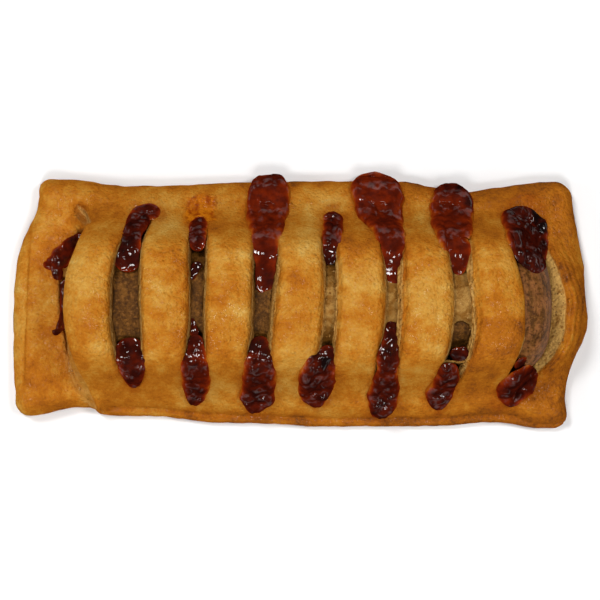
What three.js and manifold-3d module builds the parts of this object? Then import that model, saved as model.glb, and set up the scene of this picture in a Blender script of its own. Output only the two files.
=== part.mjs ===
// A slit-top sausage roll: a log of sausage meat baked inside a puff pastry parcel, whose top is
// cut across by eight slits, so that seven puffed strips arch over the meat. Relish has welled up
// through both ends of every slit and set in pools on the crust.
//
// Units are millimetres. +X runs along the roll, +Y to its far side, +Z up. The origin is at the
// middle of the footprint, on the surface that the roll rests on.

import * as THREE from "three";
import { mergeVertices } from "three/addons/utils/BufferGeometryUtils.js";
import Module from "manifold-3d";

const wasm = await Module();
wasm.setup();

// ---------------------------------------------------------------- driving dimensions

const ROLL_LENGTH = 165;
const ROLL_WIDTH = 69;
const RIDGE_HEIGHT = 35; // top of the hump, before the strips' own crown
const FLANGE_HEIGHT = 7.5; // pressed border around the hump
const SIDE_WALL = 2.4; // upright part of the border's outer edge
const EDGE_ROUND = 5; // width over which the border rounds down to its side wall
const CORNER_CUT = 0.7; // how far each corner of the outline is pulled in, both ways

const HUMP_HALF_WIDTH = 21.5; // from the middle line to where the hump is half its height
const HUMP_HALF_LENGTH = 67.8;
const HUMP_SHIFT = 1.8; // the hump sits a little to the right of the middle
const HUMP_SIDE_POWER = 8; // higher is a squarer hump
const HUMP_END_POWER = 30;
const HUMP_TOP_FALL = 0.07; // share of its height that the top loses 15 mm off the middle line

const STRIP_CROWN = 1.4; // how far each strip puffs up between two slits
const STRIP_CROWN_SPAN = 7;

const SAUSAGE = { left: -63.8, right: 71.6, halfWidth: 17.5, bottom: 3.3, top: 31.4, endRound: 15 };

const CONTACT_GAP = 0.3; // left between pieces that touch
const SLIT_DEPTH = 7; // below the crust's outer surface
const SLIT_FLOOR = 5; // no slit reaches lower than this
const SKIN = 1.5; // dough left over the meat where a slit didn't open

// Each slit: its middle's x, how far its far and near ends stand off from that, where it ends, and
// its width at the middle and towards both ends. A skin slit still has dough over the meat.
const SLITS = [
  { x: -65.4, farShift: 5.2, nearShift: 7.2, far: 22, near: -28, width: 2.6, endWidth: 1.6 },
  { x: -46.6, farShift: 2.6, nearShift: -0.6, far: 25, near: -25, width: 8.4, endWidth: 6.2 },
  { x: -27.7, farShift: -0.6, nearShift: -1.8, far: 25, near: -28, width: 3.6, endWidth: 4 },
  { x: -9.8, farShift: 0.4, nearShift: -1.8, far: 29, near: -29, width: 4.6, endWidth: 6 },
  { x: 8.3, farShift: 0.3, nearShift: -2.6, far: 25, near: -27, width: 4.6, endWidth: 4.6, skin: true },
  { x: 25.9, farShift: -1.6, nearShift: -2.4, far: 29, near: -29, width: 4.4, endWidth: 6, skin: true },
  { x: 43.3, farShift: -0.8, nearShift: -3.2, far: 28, near: -28.5, width: 5, endWidth: 5.4, skin: true },
  { x: 64.4, farShift: -0.6, nearShift: -3.4, far: 25, near: -27, width: 9.8, endWidth: 7 },
];

// The one place where a skin slit tore open to the meat, and the thread of dough below it.
const WINDOW = { x: 44.8, y: -12.6, halfWidth: 2.7, halfLength: 4.4 };
const BRIDGE = { x: 43.2, y: -17.9, width: 12, thickness: 1.2, turn: -0.25 };

// Each relish pool: the slit it came from, its middle, length and greatest width, how far it leans
// from the Y direction (degrees), where its widest place is (0 is the outer end, 1 is the ridge
// end), and how thick it stands on the crust.
const POOLS = [
  { name: "relish_0_far", x: -66.2, y: 11.4, length: 13.5, width: 6, lean: 32, widest: 0.5, thick: 1.6 },
  { name: "relish_0_near", x: -67.2, y: -3.8, length: 14, width: 3.4, lean: 2, widest: 0.6, thick: 0.9 },
  { name: "relish_1_far", x: -45.4, y: 17, length: 20, width: 7.6, lean: 20, widest: 0.3, thick: 2 },
  { name: "relish_1_near", x: -47.4, y: -19.6, length: 12.4, width: 8, lean: 8, widest: 0.45, thick: 1.4 },
  { name: "relish_2_far", x: -28.2, y: 19.4, length: 11, width: 6.2, lean: 0, widest: 0.5, thick: 1.4 },
  { name: "relish_2_near", x: -29.4, y: -20.6, length: 19.5, width: 8.2, lean: 0, widest: 0.32, thick: 2 },
  { name: "relish_3_far", x: -9.3, y: 20.2, length: 33, width: 13.4, lean: 2, widest: 0.25, thick: 2.6 },
  { name: "relish_3_near", x: -11.7, y: -22.2, length: 20, width: 11.2, lean: -6, widest: 0.3, thick: 2.4 },
  { name: "relish_4_far", x: 8.8, y: 19.2, length: 14, width: 6.6, lean: 0, widest: 0.35, thick: 1.8 },
  { name: "relish_4_near", x: 5.8, y: -21.4, length: 18, width: 9.6, lean: -17, widest: 0.4, thick: 2.2 },
  { name: "relish_5_far", x: 24.2, y: 19.9, length: 34, width: 15, lean: -11, widest: 0.25, thick: 2.8 },
  { name: "relish_5_near", x: 24.4, y: -21.2, length: 24.5, width: 10.6, lean: -8, widest: 0.3, thick: 2.4 },
  { name: "relish_6_far", x: 43.4, y: 21.4, length: 25.5, width: 12.8, lean: -5, widest: 0.35, thick: 2.6 },
  { name: "relish_6_near", x: 40.6, y: -24, length: 13.6, width: 7.8, lean: -24, widest: 0.45, thick: 2.2 },
  { name: "relish_7_far", x: 64.2, y: 17.6, length: 19, width: 12.4, lean: -8, widest: 0.45, thick: 2.2 },
  { name: "relish_7_near", x: 61.5, y: -24, length: 15, width: 8.6, lean: -46, widest: 0.5, thick: 2 },
];

// ---------------------------------------------------------------- materials

const CRUST = new THREE.MeshStandardMaterial({ color: 0xc88430, roughness: 0.5, metalness: 0 });
const MEAT = new THREE.MeshStandardMaterial({ color: 0x7d5630, roughness: 0.55, metalness: 0 });
const RELISH = new THREE.MeshStandardMaterial({ color: 0x551509, roughness: 0.15, metalness: 0 });

// ---------------------------------------------------------------- small helpers

const lerp = THREE.MathUtils.lerp;
const smoothstep = THREE.MathUtils.smoothstep;

// A level line with soft bumps on it, each given as [place, half-width, height].
function wavyLine(level, bumps) {
  return (t) =>
    bumps.reduce((sum, [at, half, height]) => sum + height * Math.exp(-(((t - at) / half) ** 2)), level);
}

// 1 in the middle, a half at `half`, and falling to 0 beyond it.
function plateau(distance, half, power) {
  return 1 / (1 + (Math.abs(distance) / half) ** power);
}

// A quarter-round: 0 at the start, 1 once `t` reaches 1.
function quarterRound(t) {
  const rest = 1 - Math.min(Math.max(t, 0), 1);
  return Math.sqrt(1 - rest * rest);
}

function solidFrom(geometry) {
  geometry.deleteAttribute("normal");
  geometry.deleteAttribute("uv");
  const merged = mergeVertices(geometry, 1e-4);
  return new wasm.Manifold(
    new wasm.Mesh({
      numProp: 3,
      vertProperties: merged.getAttribute("position").array,
      triVerts: new Uint32Array(merged.index.array),
    }),
  );
}

function meshFrom(name, solid, material) {
  const { vertProperties, triVerts } = solid.getMesh();
  const geometry = new THREE.BufferGeometry();
  geometry.setAttribute("position", new THREE.BufferAttribute(new Float32Array(vertProperties), 3));
  geometry.setIndex(new THREE.BufferAttribute(new Uint32Array(triVerts), 1));
  geometry.computeVertexNormals();
  const mesh = new THREE.Mesh(geometry, material);
  mesh.name = name;
  return mesh;
}

function largestBody(solid) {
  return solid.decompose().reduce((a, b) => (b.volume() > a.volume() ? b : a));
}

// ---------------------------------------------------------------- the parcel's outline

// How far the crust reaches on each of its four sides. The edges wander as dough does.
const farReach = wavyLine(ROLL_WIDTH / 2 - 0.6, [[-70, 9, 1.9], [12, 22, 1.3], [49, 10, -1.9], [75, 9, 0.7]]);
const nearReach = wavyLine(ROLL_WIDTH / 2 + 0.3, [[-76, 9, -3.6], [-60, 5, -4.6], [-42, 12, -3], [57, 7, -0.6]]);
const leftReach = wavyLine(ROLL_LENGTH / 2, [[30, 14, -7.2], [-30, 8, -1]]);
const rightReach = wavyLine(ROLL_LENGTH / 2 - 4.3, [[2, 14, 4.7], [-30, 10, -2.5]]);

// Distance from a point to the nearest side of the outline.
function edgeClearance(x, y) {
  return Math.min(farReach(x) - y, nearReach(x) + y, rightReach(y) - x, leftReach(y) + x);
}

// ---------------------------------------------------------------- slits and strips

function slitMiddle(slit, y) {
  const toEnd = y > 0 ? Math.min(y / slit.far, 1) : Math.min(y / slit.near, 1);
  return slit.x + (y > 0 ? slit.farShift : slit.nearShift) * toEnd * toEnd;
}

function slitHalfWidth(slit, y) {
  const toEnd = y > 0 ? y / slit.far : y / slit.near;
  if (toEnd >= 1) return 0;
  const width = lerp(slit.width, slit.endWidth, smoothstep(toEnd, 0.35, 0.75));
  const endLength = slit.endWidth / Math.abs(y > 0 ? slit.far : slit.near);
  return (width / 2) * quarterRound((1 - toEnd) / endLength);
}

// The strips puff up between the slits: 0 beside a slit, STRIP_CROWN along a strip's middle.
function crownAt(x, y) {
  const clear = Math.min(...SLITS.map((s) => Math.abs(x - slitMiddle(s, y)) - slitHalfWidth(s, y)));
  return STRIP_CROWN * quarterRound(clear / STRIP_CROWN_SPAN);
}

// ---------------------------------------------------------------- the crust's outer surface

const END_LIPS = [
  { x: -70, rise: 4, half: 7 },
  { x: 75.5, rise: 9, half: 5 },
]; // the dough turned up against both ends of the meat
const LEFT_FLAP = { from: -72, to: -66, rise: 1.2 }; // the tucked end stands a little thicker
const RIM_STEP = { inset: 4.6, drop: 1.3, softness: 1.2 }; // the base sheet shows beyond the lid
const DIMPLE = { x: -64.5, y: 25, half: 3.4, depth: 2 };

function lipAt(x, y) {
  const rises = END_LIPS.map((lip) => lip.rise * Math.exp(-(((x - lip.x) / lip.half) ** 2)));
  return (rises[0] + rises[1]) * plateau(y + 2, 17, 6);
}

function flangeAt(x, y) {
  const flap = LEFT_FLAP.rise * (1 - smoothstep(x, LEFT_FLAP.from, LEFT_FLAP.to));
  const inset = x + leftReach(y) - RIM_STEP.inset;
  const alongRim = plateau(y + 3, 20, 8);
  const rim = RIM_STEP.drop * alongRim * (1 - smoothstep(inset, -RIM_STEP.softness, 0));
  const away = ((x - DIMPLE.x) ** 2 + (y - DIMPLE.y) ** 2) / DIMPLE.half ** 2;
  return FLANGE_HEIGHT + flap + lipAt(x, y) - rim - DIMPLE.depth * Math.exp(-away);
}

function humpAt(x, y) {
  const across = plateau(y, HUMP_HALF_WIDTH, HUMP_SIDE_POWER) * (1 - HUMP_TOP_FALL * (y / 15) ** 2);
  return Math.max(across, 0) * plateau(x - HUMP_SHIFT, HUMP_HALF_LENGTH, HUMP_END_POWER);
}

function crustHeight(x, y) {
  const flange = flangeAt(x, y);
  const hump = humpAt(x, y);
  const full = flange + (RIDGE_HEIGHT - flange) * hump + crownAt(x, y) * (0.25 + 0.75 * hump);
  return lerp(SIDE_WALL, full, quarterRound(edgeClearance(x, y) / EDGE_ROUND));
}

// ---------------------------------------------------------------- solids over a height

// A grid of points holds [x, y, z] at grid[j][i], with i running towards +X and j towards +Y. Its
// border is the loop of points around it, anticlockwise from above.
function borderOf(grid) {
  const lastColumn = grid.map((row) => row.at(-1));
  const firstColumn = grid.map((row) => row[0]);
  return [
    ...grid[0].slice(0, -1),
    ...lastColumn.slice(0, -1),
    ...grid.at(-1).slice(1).reverse(),
    ...firstColumn.slice(1).reverse(),
  ];
}

function gridFaces(grid) {
  const faces = [];
  for (let j = 0; j + 1 < grid.length; j++) {
    for (let i = 0; i + 1 < grid[0].length; i++) {
      const [a, b, c, d] = [grid[j][i], grid[j][i + 1], grid[j + 1][i + 1], grid[j + 1][i]];
      faces.push([a, b, c], [a, c, d]);
    }
  }
  return faces;
}

function wallFaces(upper, lower) {
  return upper.flatMap((a, n) => {
    const next = (n + 1) % upper.length;
    return [[a, lower[n], lower[next]], [a, lower[next], upper[next]]];
  });
}

function turned(faces) {
  return faces.map(([a, b, c]) => [a, c, b]);
}

function solidOfFaces(faces) {
  const geometry = new THREE.BufferGeometry();
  geometry.setAttribute("position", new THREE.Float32BufferAttribute(faces.flat(2), 3));
  return solidFrom(geometry);
}

const EDGE_STEPS = [0, 2, 4.2]; // grid lines just inside the outline, where it rounds down
const STRIP_STATIONS = [0, 0.28, 0.72, 1]; // grid lines over each strip
const END_STATIONS = [0.25, 0.5, 0.75, 1]; // grid lines between an end of the roll and its first slit
const SLIT_MARGIN = 0.8; // the grid lines beside a slit stand off from it by this
const ROWS = [0, 6, 12, 16, 19.5, 23, 27]; // grid lines on both sides of the middle line

// The x of every grid line at one y. The lines follow the slits, so that each strip keeps its crown.
function stationsAt(y) {
  const edges = SLITS.map((s) => {
    const half = slitHalfWidth(s, y) + SLIT_MARGIN;
    return [slitMiddle(s, y) - half, slitMiddle(s, y) + half];
  });
  const left = -leftReach(y);
  const right = rightReach(y);
  const innerLeft = left + EDGE_STEPS.at(-1);
  const innerRight = right - EDGE_STEPS.at(-1);
  const strips = edges
    .slice(1)
    .flatMap(([next], n) => STRIP_STATIONS.map((share) => lerp(edges[n][1], next, share)));
  return [
    ...EDGE_STEPS.map((step) => left + step),
    ...END_STATIONS.map((share) => lerp(innerLeft, edges[0][0], share)),
    ...strips,
    ...END_STATIONS.map((share) => lerp(innerRight, edges.at(-1)[1], share)).reverse(),
    ...EDGE_STEPS.map((step) => right - step).reverse(),
  ];
}

// The flat underside of a grid: wide faces from its border to a line along its middle.
function baseFaces(grid, inset) {
  const onBase = ([x, y]) => [x, y, 0];
  const middleRow = grid[(grid.length - 1) / 2];
  const columnOf = new Map(grid.flatMap((row) => row.map((point, i) => [point, i])));
  const inward = (point) => {
    const column = THREE.MathUtils.clamp(columnOf.get(point), inset, middleRow.length - 1 - inset);
    return onBase(middleRow[column]);
  };
  const border = borderOf(grid);
  return border.flatMap((a, n) => {
    const b = border[(n + 1) % border.length];
    const faces = [[onBase(b), onBase(a), inward(a)]];
    if (inward(a)[0] !== inward(b)[0]) faces.push([onBase(b), inward(a), inward(b)]);
    return faces;
  });
}

// The crust's filled-in outer form, with its top and its outer edge moved out by `lift`.
function crustForm(lift) {
  const farHalf = [...ROWS, ...EDGE_STEPS.map((step) => ROLL_WIDTH / 2 - step).reverse()];
  const rows = [...farHalf.slice(1).map((y) => -y).reverse(), ...farHalf];
  const plan = rows.map((y) =>
    stationsAt(y).map((x) => [x, lerp(-nearReach(x), farReach(x), y / ROLL_WIDTH + 0.5)]),
  );
  const outward = (n, count) => (n === 0 ? -1 : n === count - 1 ? 1 : 0);
  const top = plan.map((row, j) =>
    row.map(([x, y], i) => {
      const [alongX, alongY] = [outward(i, row.length), outward(j, plan.length)];
      const height = alongX || alongY ? SIDE_WALL : crustHeight(x, y);
      const outwards = alongX && alongY ? lift - CORNER_CUT : lift;
      return [x + outwards * alongX, y + outwards * alongY, height + lift];
    }),
  );
  const border = borderOf(top);
  const foot = border.map(([x, y]) => [x, y, 0]);
  const base = baseFaces(top, EDGE_STEPS.length);
  return solidOfFaces([...gridFaces(top), ...wallFaces(border, foot), ...base]);
}

// ---------------------------------------------------------------- the log of meat

const LOG_RINGS = 14;
const LOG_SIDES = 18;

// An oval log with rounded ends, grown on every side by `grow`.
function logForm(grow) {
  const middleZ = (SAUSAGE.bottom + SAUSAGE.top) / 2;
  const halfHeight = (SAUSAGE.top - SAUSAGE.bottom) / 2;
  const left = SAUSAGE.left - grow;
  const right = SAUSAGE.right + grow;
  const positions = [left, 0, middleZ];
  for (let ring = 1; ring < LOG_RINGS; ring++) {
    // a cosine spaces the rings closely at both ends, where the log rounds off
    const x = lerp(left, right, (1 - Math.cos((Math.PI * ring) / LOG_RINGS)) / 2);
    const toEnd = Math.min(x - left, right - x);
    const size = quarterRound(toEnd / SAUSAGE.endRound) * (1 + 0.02 * Math.sin(x / 9));
    for (let side = 0; side < LOG_SIDES; side++) {
      const angle = (2 * Math.PI * side) / LOG_SIDES;
      const y = (SAUSAGE.halfWidth + grow) * size * Math.cos(angle);
      positions.push(x, y, middleZ + (halfHeight + grow) * size * Math.sin(angle));
    }
  }
  positions.push(right, 0, middleZ);
  const faces = [];
  const last = positions.length / 3 - 1;
  for (let side = 0; side < LOG_SIDES; side++) {
    const next = (side + 1) % LOG_SIDES;
    const end = last - LOG_SIDES;
    faces.push(0, 1 + next, 1 + side, last, end + side, end + next);
    for (let ring = 0; ring + 2 < LOG_RINGS; ring++) {
      const here = 1 + ring * LOG_SIDES;
      const there = here + LOG_SIDES;
      faces.push(here + side, here + next, there + next, here + side, there + next, there + side);
    }
  }
  const geometry = new THREE.BufferGeometry();
  geometry.setAttribute("position", new THREE.Float32BufferAttribute(positions, 3));
  geometry.setIndex(faces);
  return solidFrom(geometry);
}

// ---------------------------------------------------------------- cutting the slits

const SLIT_STEPS = 12;
const ABOVE_ALL = 60;

function slitFloor(x, y) {
  return Math.max(crustHeight(x, y) - SLIT_DEPTH, SLIT_FLOOR);
}

// What a slit removes, pulled in on every side by `shrink`.
function slitForm(slit, shrink) {
  const far = slit.far - shrink;
  const near = slit.near + shrink;
  // a cosine spaces the steps closely at both ends, where the slit narrows
  const ys = Array.from({ length: SLIT_STEPS + 1 }, (_, n) =>
    lerp(near, far, (1 - Math.cos((Math.PI * n) / SLIT_STEPS)) / 2),
  );
  const sides = (y) => {
    const half = Math.max(slitHalfWidth(slit, y) - shrink, 0.2);
    return [slitMiddle(slit, y) - half, slitMiddle(slit, y) + half];
  };
  const floor = ys.map((y) => sides(y).map((x) => [x, y, slitFloor(slitMiddle(slit, y), y) + shrink]));
  const top = floor.map((row) => row.map(([x, y]) => [x, y, ABOVE_ALL]));
  const walls = wallFaces(borderOf(top), borderOf(floor));
  return solidOfFaces([...gridFaces(top), ...walls, ...turned(gridFaces(floor))]);
}

function windowForm(shrink) {
  const tube = new THREE.CylinderGeometry(1, 1, ABOVE_ALL, 12);
  tube.rotateX(Math.PI / 2);
  tube.scale(WINDOW.halfWidth - shrink, WINDOW.halfLength - shrink, 1);
  tube.translate(WINDOW.x, WINDOW.y, ABOVE_ALL / 2 + slitFloor(WINDOW.x, WINDOW.y) + shrink);
  return solidFrom(tube);
}

function bridgeBox(grow) {
  const box = new THREE.BoxGeometry(BRIDGE.width, BRIDGE.thickness + 2 * grow, ABOVE_ALL * 2);
  box.rotateZ(BRIDGE.turn);
  box.translate(BRIDGE.x, BRIDGE.y, 0);
  return solidFrom(box);
}

// Everything that the slits remove. Under a skin slit, dough stays over the meat.
function slitCuts(shrink) {
  const meatAndSkin = logForm(CONTACT_GAP + SKIN + shrink);
  let cuts = windowForm(shrink);
  for (const slit of SLITS) {
    const cut = slitForm(slit, shrink);
    cuts = cuts.add(slit.skin ? cut.subtract(meatAndSkin) : cut);
  }
  return cuts.subtract(bridgeBox(shrink));
}

// ---------------------------------------------------------------- relish

const POOL_RINGS = 4;
const POOL_SIDES = 12;
const POOL_RIM = 0.8; // how thick a pool is at its outline
const POOL_DEPTH = 8; // how far a pool reaches down into its slit
const DRIP_END = 1; // a pool that runs over the crust's edge stops this far above the base

// A drop-shaped pool in plan, domed over the crust and reaching down into the slit.
function poolForm(pool) {
  const lean = THREE.MathUtils.degToRad(pool.lean);
  const outward = Math.sign(pool.y); // the pool's outer end points away from the ridge
  const top = [];
  const under = [];
  for (let ring = 0; ring <= POOL_RINGS; ring++) {
    const share = ring / POOL_RINGS;
    for (let side = 0; side < POOL_SIDES; side++) {
      const angle = (2 * Math.PI * side) / POOL_SIDES;
      const skewed = Math.cos(angle) + (0.5 - pool.widest) * 2 * Math.sin(angle) ** 2;
      const alongPool = outward * share * (pool.length / 2) * skewed;
      const acrossPool = share * (pool.width / 2) * Math.sin(angle) * outward;
      const x = pool.x + acrossPool * Math.cos(lean) + alongPool * Math.sin(lean);
      const y = pool.y - acrossPool * Math.sin(lean) + alongPool * Math.cos(lean);
      const base = crustHeight(x, y);
      const dome = lerp(POOL_RIM, pool.thick, quarterRound((1 - share) * 1.6));
      const floor = edgeClearance(x, y) > EDGE_ROUND ? Math.max(base - POOL_DEPTH, SLIT_FLOOR) : DRIP_END;
      top.push([x, y, base + CONTACT_GAP + dome]);
      under.push([x, y, floor]);
      if (ring === 0) break;
    }
  }
  const positions = [...top.flat(), ...under.flat()];
  const lower = top.length;
  const at = (ring, side) => (ring === 0 ? 0 : 1 + (ring - 1) * POOL_SIDES + (side % POOL_SIDES));
  const faces = [];
  for (let side = 0; side < POOL_SIDES; side++) {
    for (let ring = 0; ring < POOL_RINGS; ring++) {
      const [a, b, c, d] = [at(ring, side), at(ring, side + 1), at(ring + 1, side + 1), at(ring + 1, side)];
      faces.push(a, c, d, lower + a, lower + d, lower + c);
      if (ring > 0) faces.push(a, b, c, lower + a, lower + c, lower + b);
    }
    const [a, b] = [at(POOL_RINGS, side), at(POOL_RINGS, side + 1)];
    faces.push(a, b, lower + b, a, lower + b, lower + a);
  }
  const geometry = new THREE.BufferGeometry();
  geometry.setAttribute("position", new THREE.Float32BufferAttribute(positions, 3));
  geometry.setIndex(faces);
  const solid = solidFrom(geometry);
  return solid.volume() < 0 ? solidFrom(turnedOver(geometry)) : solid;
}

function turnedOver(geometry) {
  const index = [...geometry.index.array];
  for (let i = 0; i < index.length; i += 3) [index[i + 1], index[i + 2]] = [index[i + 2], index[i + 1]];
  geometry.setIndex(index);
  return geometry;
}

// ---------------------------------------------------------------- the roll

const roll = new THREE.Group();

const cavity = logForm(CONTACT_GAP);
const pastry = crustForm(0).subtract(cavity).subtract(slitCuts(0));
roll.add(meshFrom("pastry", largestBody(pastry), CRUST));
roll.add(meshFrom("sausage_meat", logForm(0), MEAT));

const keepOut = crustForm(CONTACT_GAP).subtract(slitCuts(CONTACT_GAP)).add(cavity);
for (const pool of POOLS) {
  roll.add(meshFrom(pool.name, largestBody(poolForm(pool).subtract(keepOut)), RELISH));
}

const box = new THREE.Box3().setFromObject(roll);
const middle = box.getCenter(new THREE.Vector3());
roll.position.set(-middle.x, -middle.y, -box.min.z);

export default roll;
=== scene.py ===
# %% [markdown]
# # A slit-top sausage roll
# A log of sausage meat is baked inside a parcel of puff pastry. The lid was cut across eight times,
# so that seven strips arch over the meat, and sweet dark relish has boiled up at both ends of the
# cuts. The steps below build the crust, the meat, the relish and the small crumbs in that order,
# each with its own finish, and then set up a plain studio.
#
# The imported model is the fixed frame: the crust, the meat and each pool of relish take the place of
# one of its nodes, and the scattered blisters and crumbs ride along.

# %% Load the frame
import itertools
import math

import bpy
import numpy as np
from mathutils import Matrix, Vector


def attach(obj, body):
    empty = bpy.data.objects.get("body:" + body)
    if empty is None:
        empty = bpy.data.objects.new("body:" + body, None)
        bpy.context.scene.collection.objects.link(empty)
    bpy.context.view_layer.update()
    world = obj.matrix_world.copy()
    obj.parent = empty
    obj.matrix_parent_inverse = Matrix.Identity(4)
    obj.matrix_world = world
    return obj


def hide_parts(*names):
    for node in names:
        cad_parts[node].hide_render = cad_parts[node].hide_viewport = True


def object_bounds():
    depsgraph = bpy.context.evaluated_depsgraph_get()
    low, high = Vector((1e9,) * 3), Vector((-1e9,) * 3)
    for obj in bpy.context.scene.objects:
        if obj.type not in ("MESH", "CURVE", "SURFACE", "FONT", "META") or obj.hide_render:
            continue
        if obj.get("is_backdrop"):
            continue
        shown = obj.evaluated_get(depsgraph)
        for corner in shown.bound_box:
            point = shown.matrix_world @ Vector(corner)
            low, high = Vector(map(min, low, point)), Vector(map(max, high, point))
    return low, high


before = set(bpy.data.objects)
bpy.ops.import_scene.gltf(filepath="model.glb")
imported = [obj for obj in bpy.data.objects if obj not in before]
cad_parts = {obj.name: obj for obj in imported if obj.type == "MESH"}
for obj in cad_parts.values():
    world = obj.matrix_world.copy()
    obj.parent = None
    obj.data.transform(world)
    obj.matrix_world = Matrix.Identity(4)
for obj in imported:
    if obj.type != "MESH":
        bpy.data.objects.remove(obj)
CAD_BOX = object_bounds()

print("frame nodes:", len(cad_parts), "size", [round(v, 4) for v in CAD_BOX[1] - CAD_BOX[0]])

# %% [markdown]
# ## Drawing in millimetres
# Food is easier to draw in millimetres, round the middle of the meat, than in metres round the
# middle of the footprint. So all shapes below are worked out in a drawing frame, and one function
# moves the finished points into the frame of the model. numpy handles whole arrays of points at
# once, which is what makes a mesh of a hundred thousand points quick to make in a script.

# %% Units and the drawing frame
MM = 0.001
DRAWING_ORIGIN = np.array([-0.156, -1.177, 0.0])  # the drawing frame's origin in the model, in mm


def to_model(points):
    """Points of the drawing frame, in mm, as points of the model, in metres."""
    return (np.asarray(points, float) + DRAWING_ORIGIN) * MM


print("the drawing's origin lies in the model at", to_model([0, 0, 0]), "m")

# %% [markdown]
# Most shapes below are mixes of a few simple curves: a straight blend, a soft step, a quarter of a
# circle, a table top with soft edges, and a bump.

# %% Simple curves
def lerp(a, b, t):
    """The value at share t of the way from a to b."""
    return a + (b - a) * t


def smoothstep(t, start, end):
    """0 up to `start`, rising softly to 1 at `end`."""
    share = np.clip((t - start) / (end - start), 0, 1)
    return share * share * (3 - 2 * share)


def quarter_round(t):
    """0 at t = 0, rising like a quarter of a circle to 1 at t = 1."""
    rest = 1 - np.clip(t, 0, 1)
    return np.sqrt(1 - rest * rest)


def plateau(distance, half, power):
    """1 in the middle, a half at `half`, then 0."""
    return 1 / (1 + (np.abs(distance) / half) ** power)


def swell(t, at, half):
    """A soft bump of height 1."""
    return np.exp(-(((t - at) / half) ** 2))


quarters = np.linspace(0, 1, 5)
print("soft step:", np.round(smoothstep(quarters, 0, 1), 2), "round:", np.round(quarter_round(quarters), 2))

# %% [markdown]
# ## Noise on arrays
# Nothing on a baked crust is straight, so most lengths get a little soft noise. Value noise is the
# simplest kind: each corner of a grid of cells gets a random number, made from its whole-number
# place by mixing bits, and points between the corners take a smooth mean. A surface that lies along
# the grid would show its cells as blocks, so the grid is turned first. The numbers depend only on
# the place and the seed, so each run gives the same roll.

# %% Soft noise
TILT = np.array([[0.36, 0.48, -0.8], [-0.8, 0.6, 0.0], [0.48, 0.64, 0.6]])  # turns the grid of cells


def scramble(i, j, k, seed):
    """A random value from -1 to 1 for each whole-number place."""
    mixed = i * 73856093 ^ j * 19349663 ^ k * 83492791 ^ seed * 26543
    mixed = (mixed ^ (mixed >> 13)) * 1274126177 & 0xFFFFFFFF
    mixed = (mixed ^ (mixed >> 16)) * 668265263 & 0xFFFFFFFF
    return mixed / 0x7FFFFFFF - 1


def soft_noise(x, y, z, size, seed):
    """Smooth random values from -1 to 1, which change over about `size`."""
    place = np.stack(np.broadcast_arrays(x, y, z), axis=-1) @ TILT / size
    cell = np.floor(place).astype(np.int64)
    part = place - cell
    part = part * part * (3 - 2 * part)
    total = np.zeros(place.shape[:-1])
    for corner in itertools.product((0, 1), repeat=3):
        at = cell + np.array(corner)
        weight = np.prod(np.where(np.array(corner), part, 1 - part), axis=-1)
        total += weight * scramble(at[..., 0], at[..., 1], at[..., 2], seed)
    return total


NOISE_LAYERS = 3
LAYERS_DIVISOR = 1.5  # brings the sum of the layers back to about -1 to 1


def layered_noise(x, y, z, size, seed):
    """Noise with finer noise on top, each layer half as large and half as strong."""
    layers = [soft_noise(x, y, z, size / 2**n, seed + n) / 2**n for n in range(NOISE_LAYERS)]
    return sum(layers) / LAYERS_DIVISOR


sample = soft_noise(np.linspace(0, 90, 500), 0, 0, 3, seed=1)
print("noise from", round(float(sample.min()), 2), "to", round(float(sample.max()), 2))


# %% [markdown]
# ## Curves through a few points
# The edges of the parcel, of each slit and of each pool of relish are drawn as a few points, with a
# smooth curve through them. The curve is a cubic between each two points. Its slope at a point
# comes from the two stretches that meet there, and is level at a peak, so that it never swings out
# past the points.

# %% Smooth curve
def curve_through(places, values):
    """A function of a smooth curve through the points; level beyond both ends."""
    order = np.argsort(places)
    places = np.asarray(places, float)[order]
    values = np.asarray(values, float)[order]
    rise = np.diff(values) / np.diff(places)
    same_way = rise[:-1] * rise[1:] > 0
    total = np.where(same_way, rise[:-1] + rise[1:], 1)
    inner = np.where(same_way, 2 * rise[:-1] * rise[1:] / total, 0)
    slopes = np.concatenate([rise[:1], inner, rise[-1:]])

    def curve(t):
        t = np.clip(t, places[0], places[-1])
        n = np.clip(np.searchsorted(places, t) - 1, 0, len(places) - 2)
        step = places[n + 1] - places[n]
        s = (t - places[n]) / step
        return (
            values[n] * (1 + 2 * s) * (1 - s) ** 2
            + values[n + 1] * s * s * (3 - 2 * s)
            + slopes[n] * step * s * (1 - s) ** 2
            - slopes[n + 1] * step * s * s * (1 - s)
        )

    return curve


# %% [markdown]
# ## The outline of the parcel
# The pressed border wanders as dough does. Its two long sides are curves through a few points,
# which hold the notch where the lid stops short of the flap. Its two ends are a level line with a
# few soft bumps, given as (place, half width, height). The corners are rounded by squeezing the
# square corner of the grid into a quarter of a disc.

# %% Outline
def wavy_line(level, bumps):
    return lambda t: level + sum(height * swell(t, at, half) for at, half, height in bumps)


far_reach = curve_through(
    [-82, -70, -62, -50, -38, -16, 14, 30, 38, 48, 58, 70, 80],
    [35.0, 35.8, 35.2, 33.8, 33.9, 34.8, 35.2, 35.0, 33.6, 32.1, 33.4, 34.9, 34.9],
)
near_reach = curve_through(
    [-84, -77, -70, -64, -60, -57.5, -54, -42, -34, -26, -12, 6, 38, 56, 70, 80],
    [32.6, 32.2, 30.7, 29.7, 29.7, 31.7, 32.1, 32.2, 33.0, 34.1, 34.3, 35.2, 35.1, 34.0, 35.7, 35.7],
)
left_reach = wavy_line(82.5, [(31, 13, -7.1), (-32, 8, -1)])
right_reach = wavy_line(78.1, [(8, 15, 3.8), (-7, 8.5, 3.2), (-28, 10, -1.9)])
CORNER_ROUND = 4.2


def edge_clearance(x, y):
    """How far a point is inside the nearest side of the outline."""
    sides = [far_reach(x) - y, near_reach(x) + y, right_reach(y) - x, left_reach(y) + x]
    return np.minimum.reduce(sides)


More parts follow.
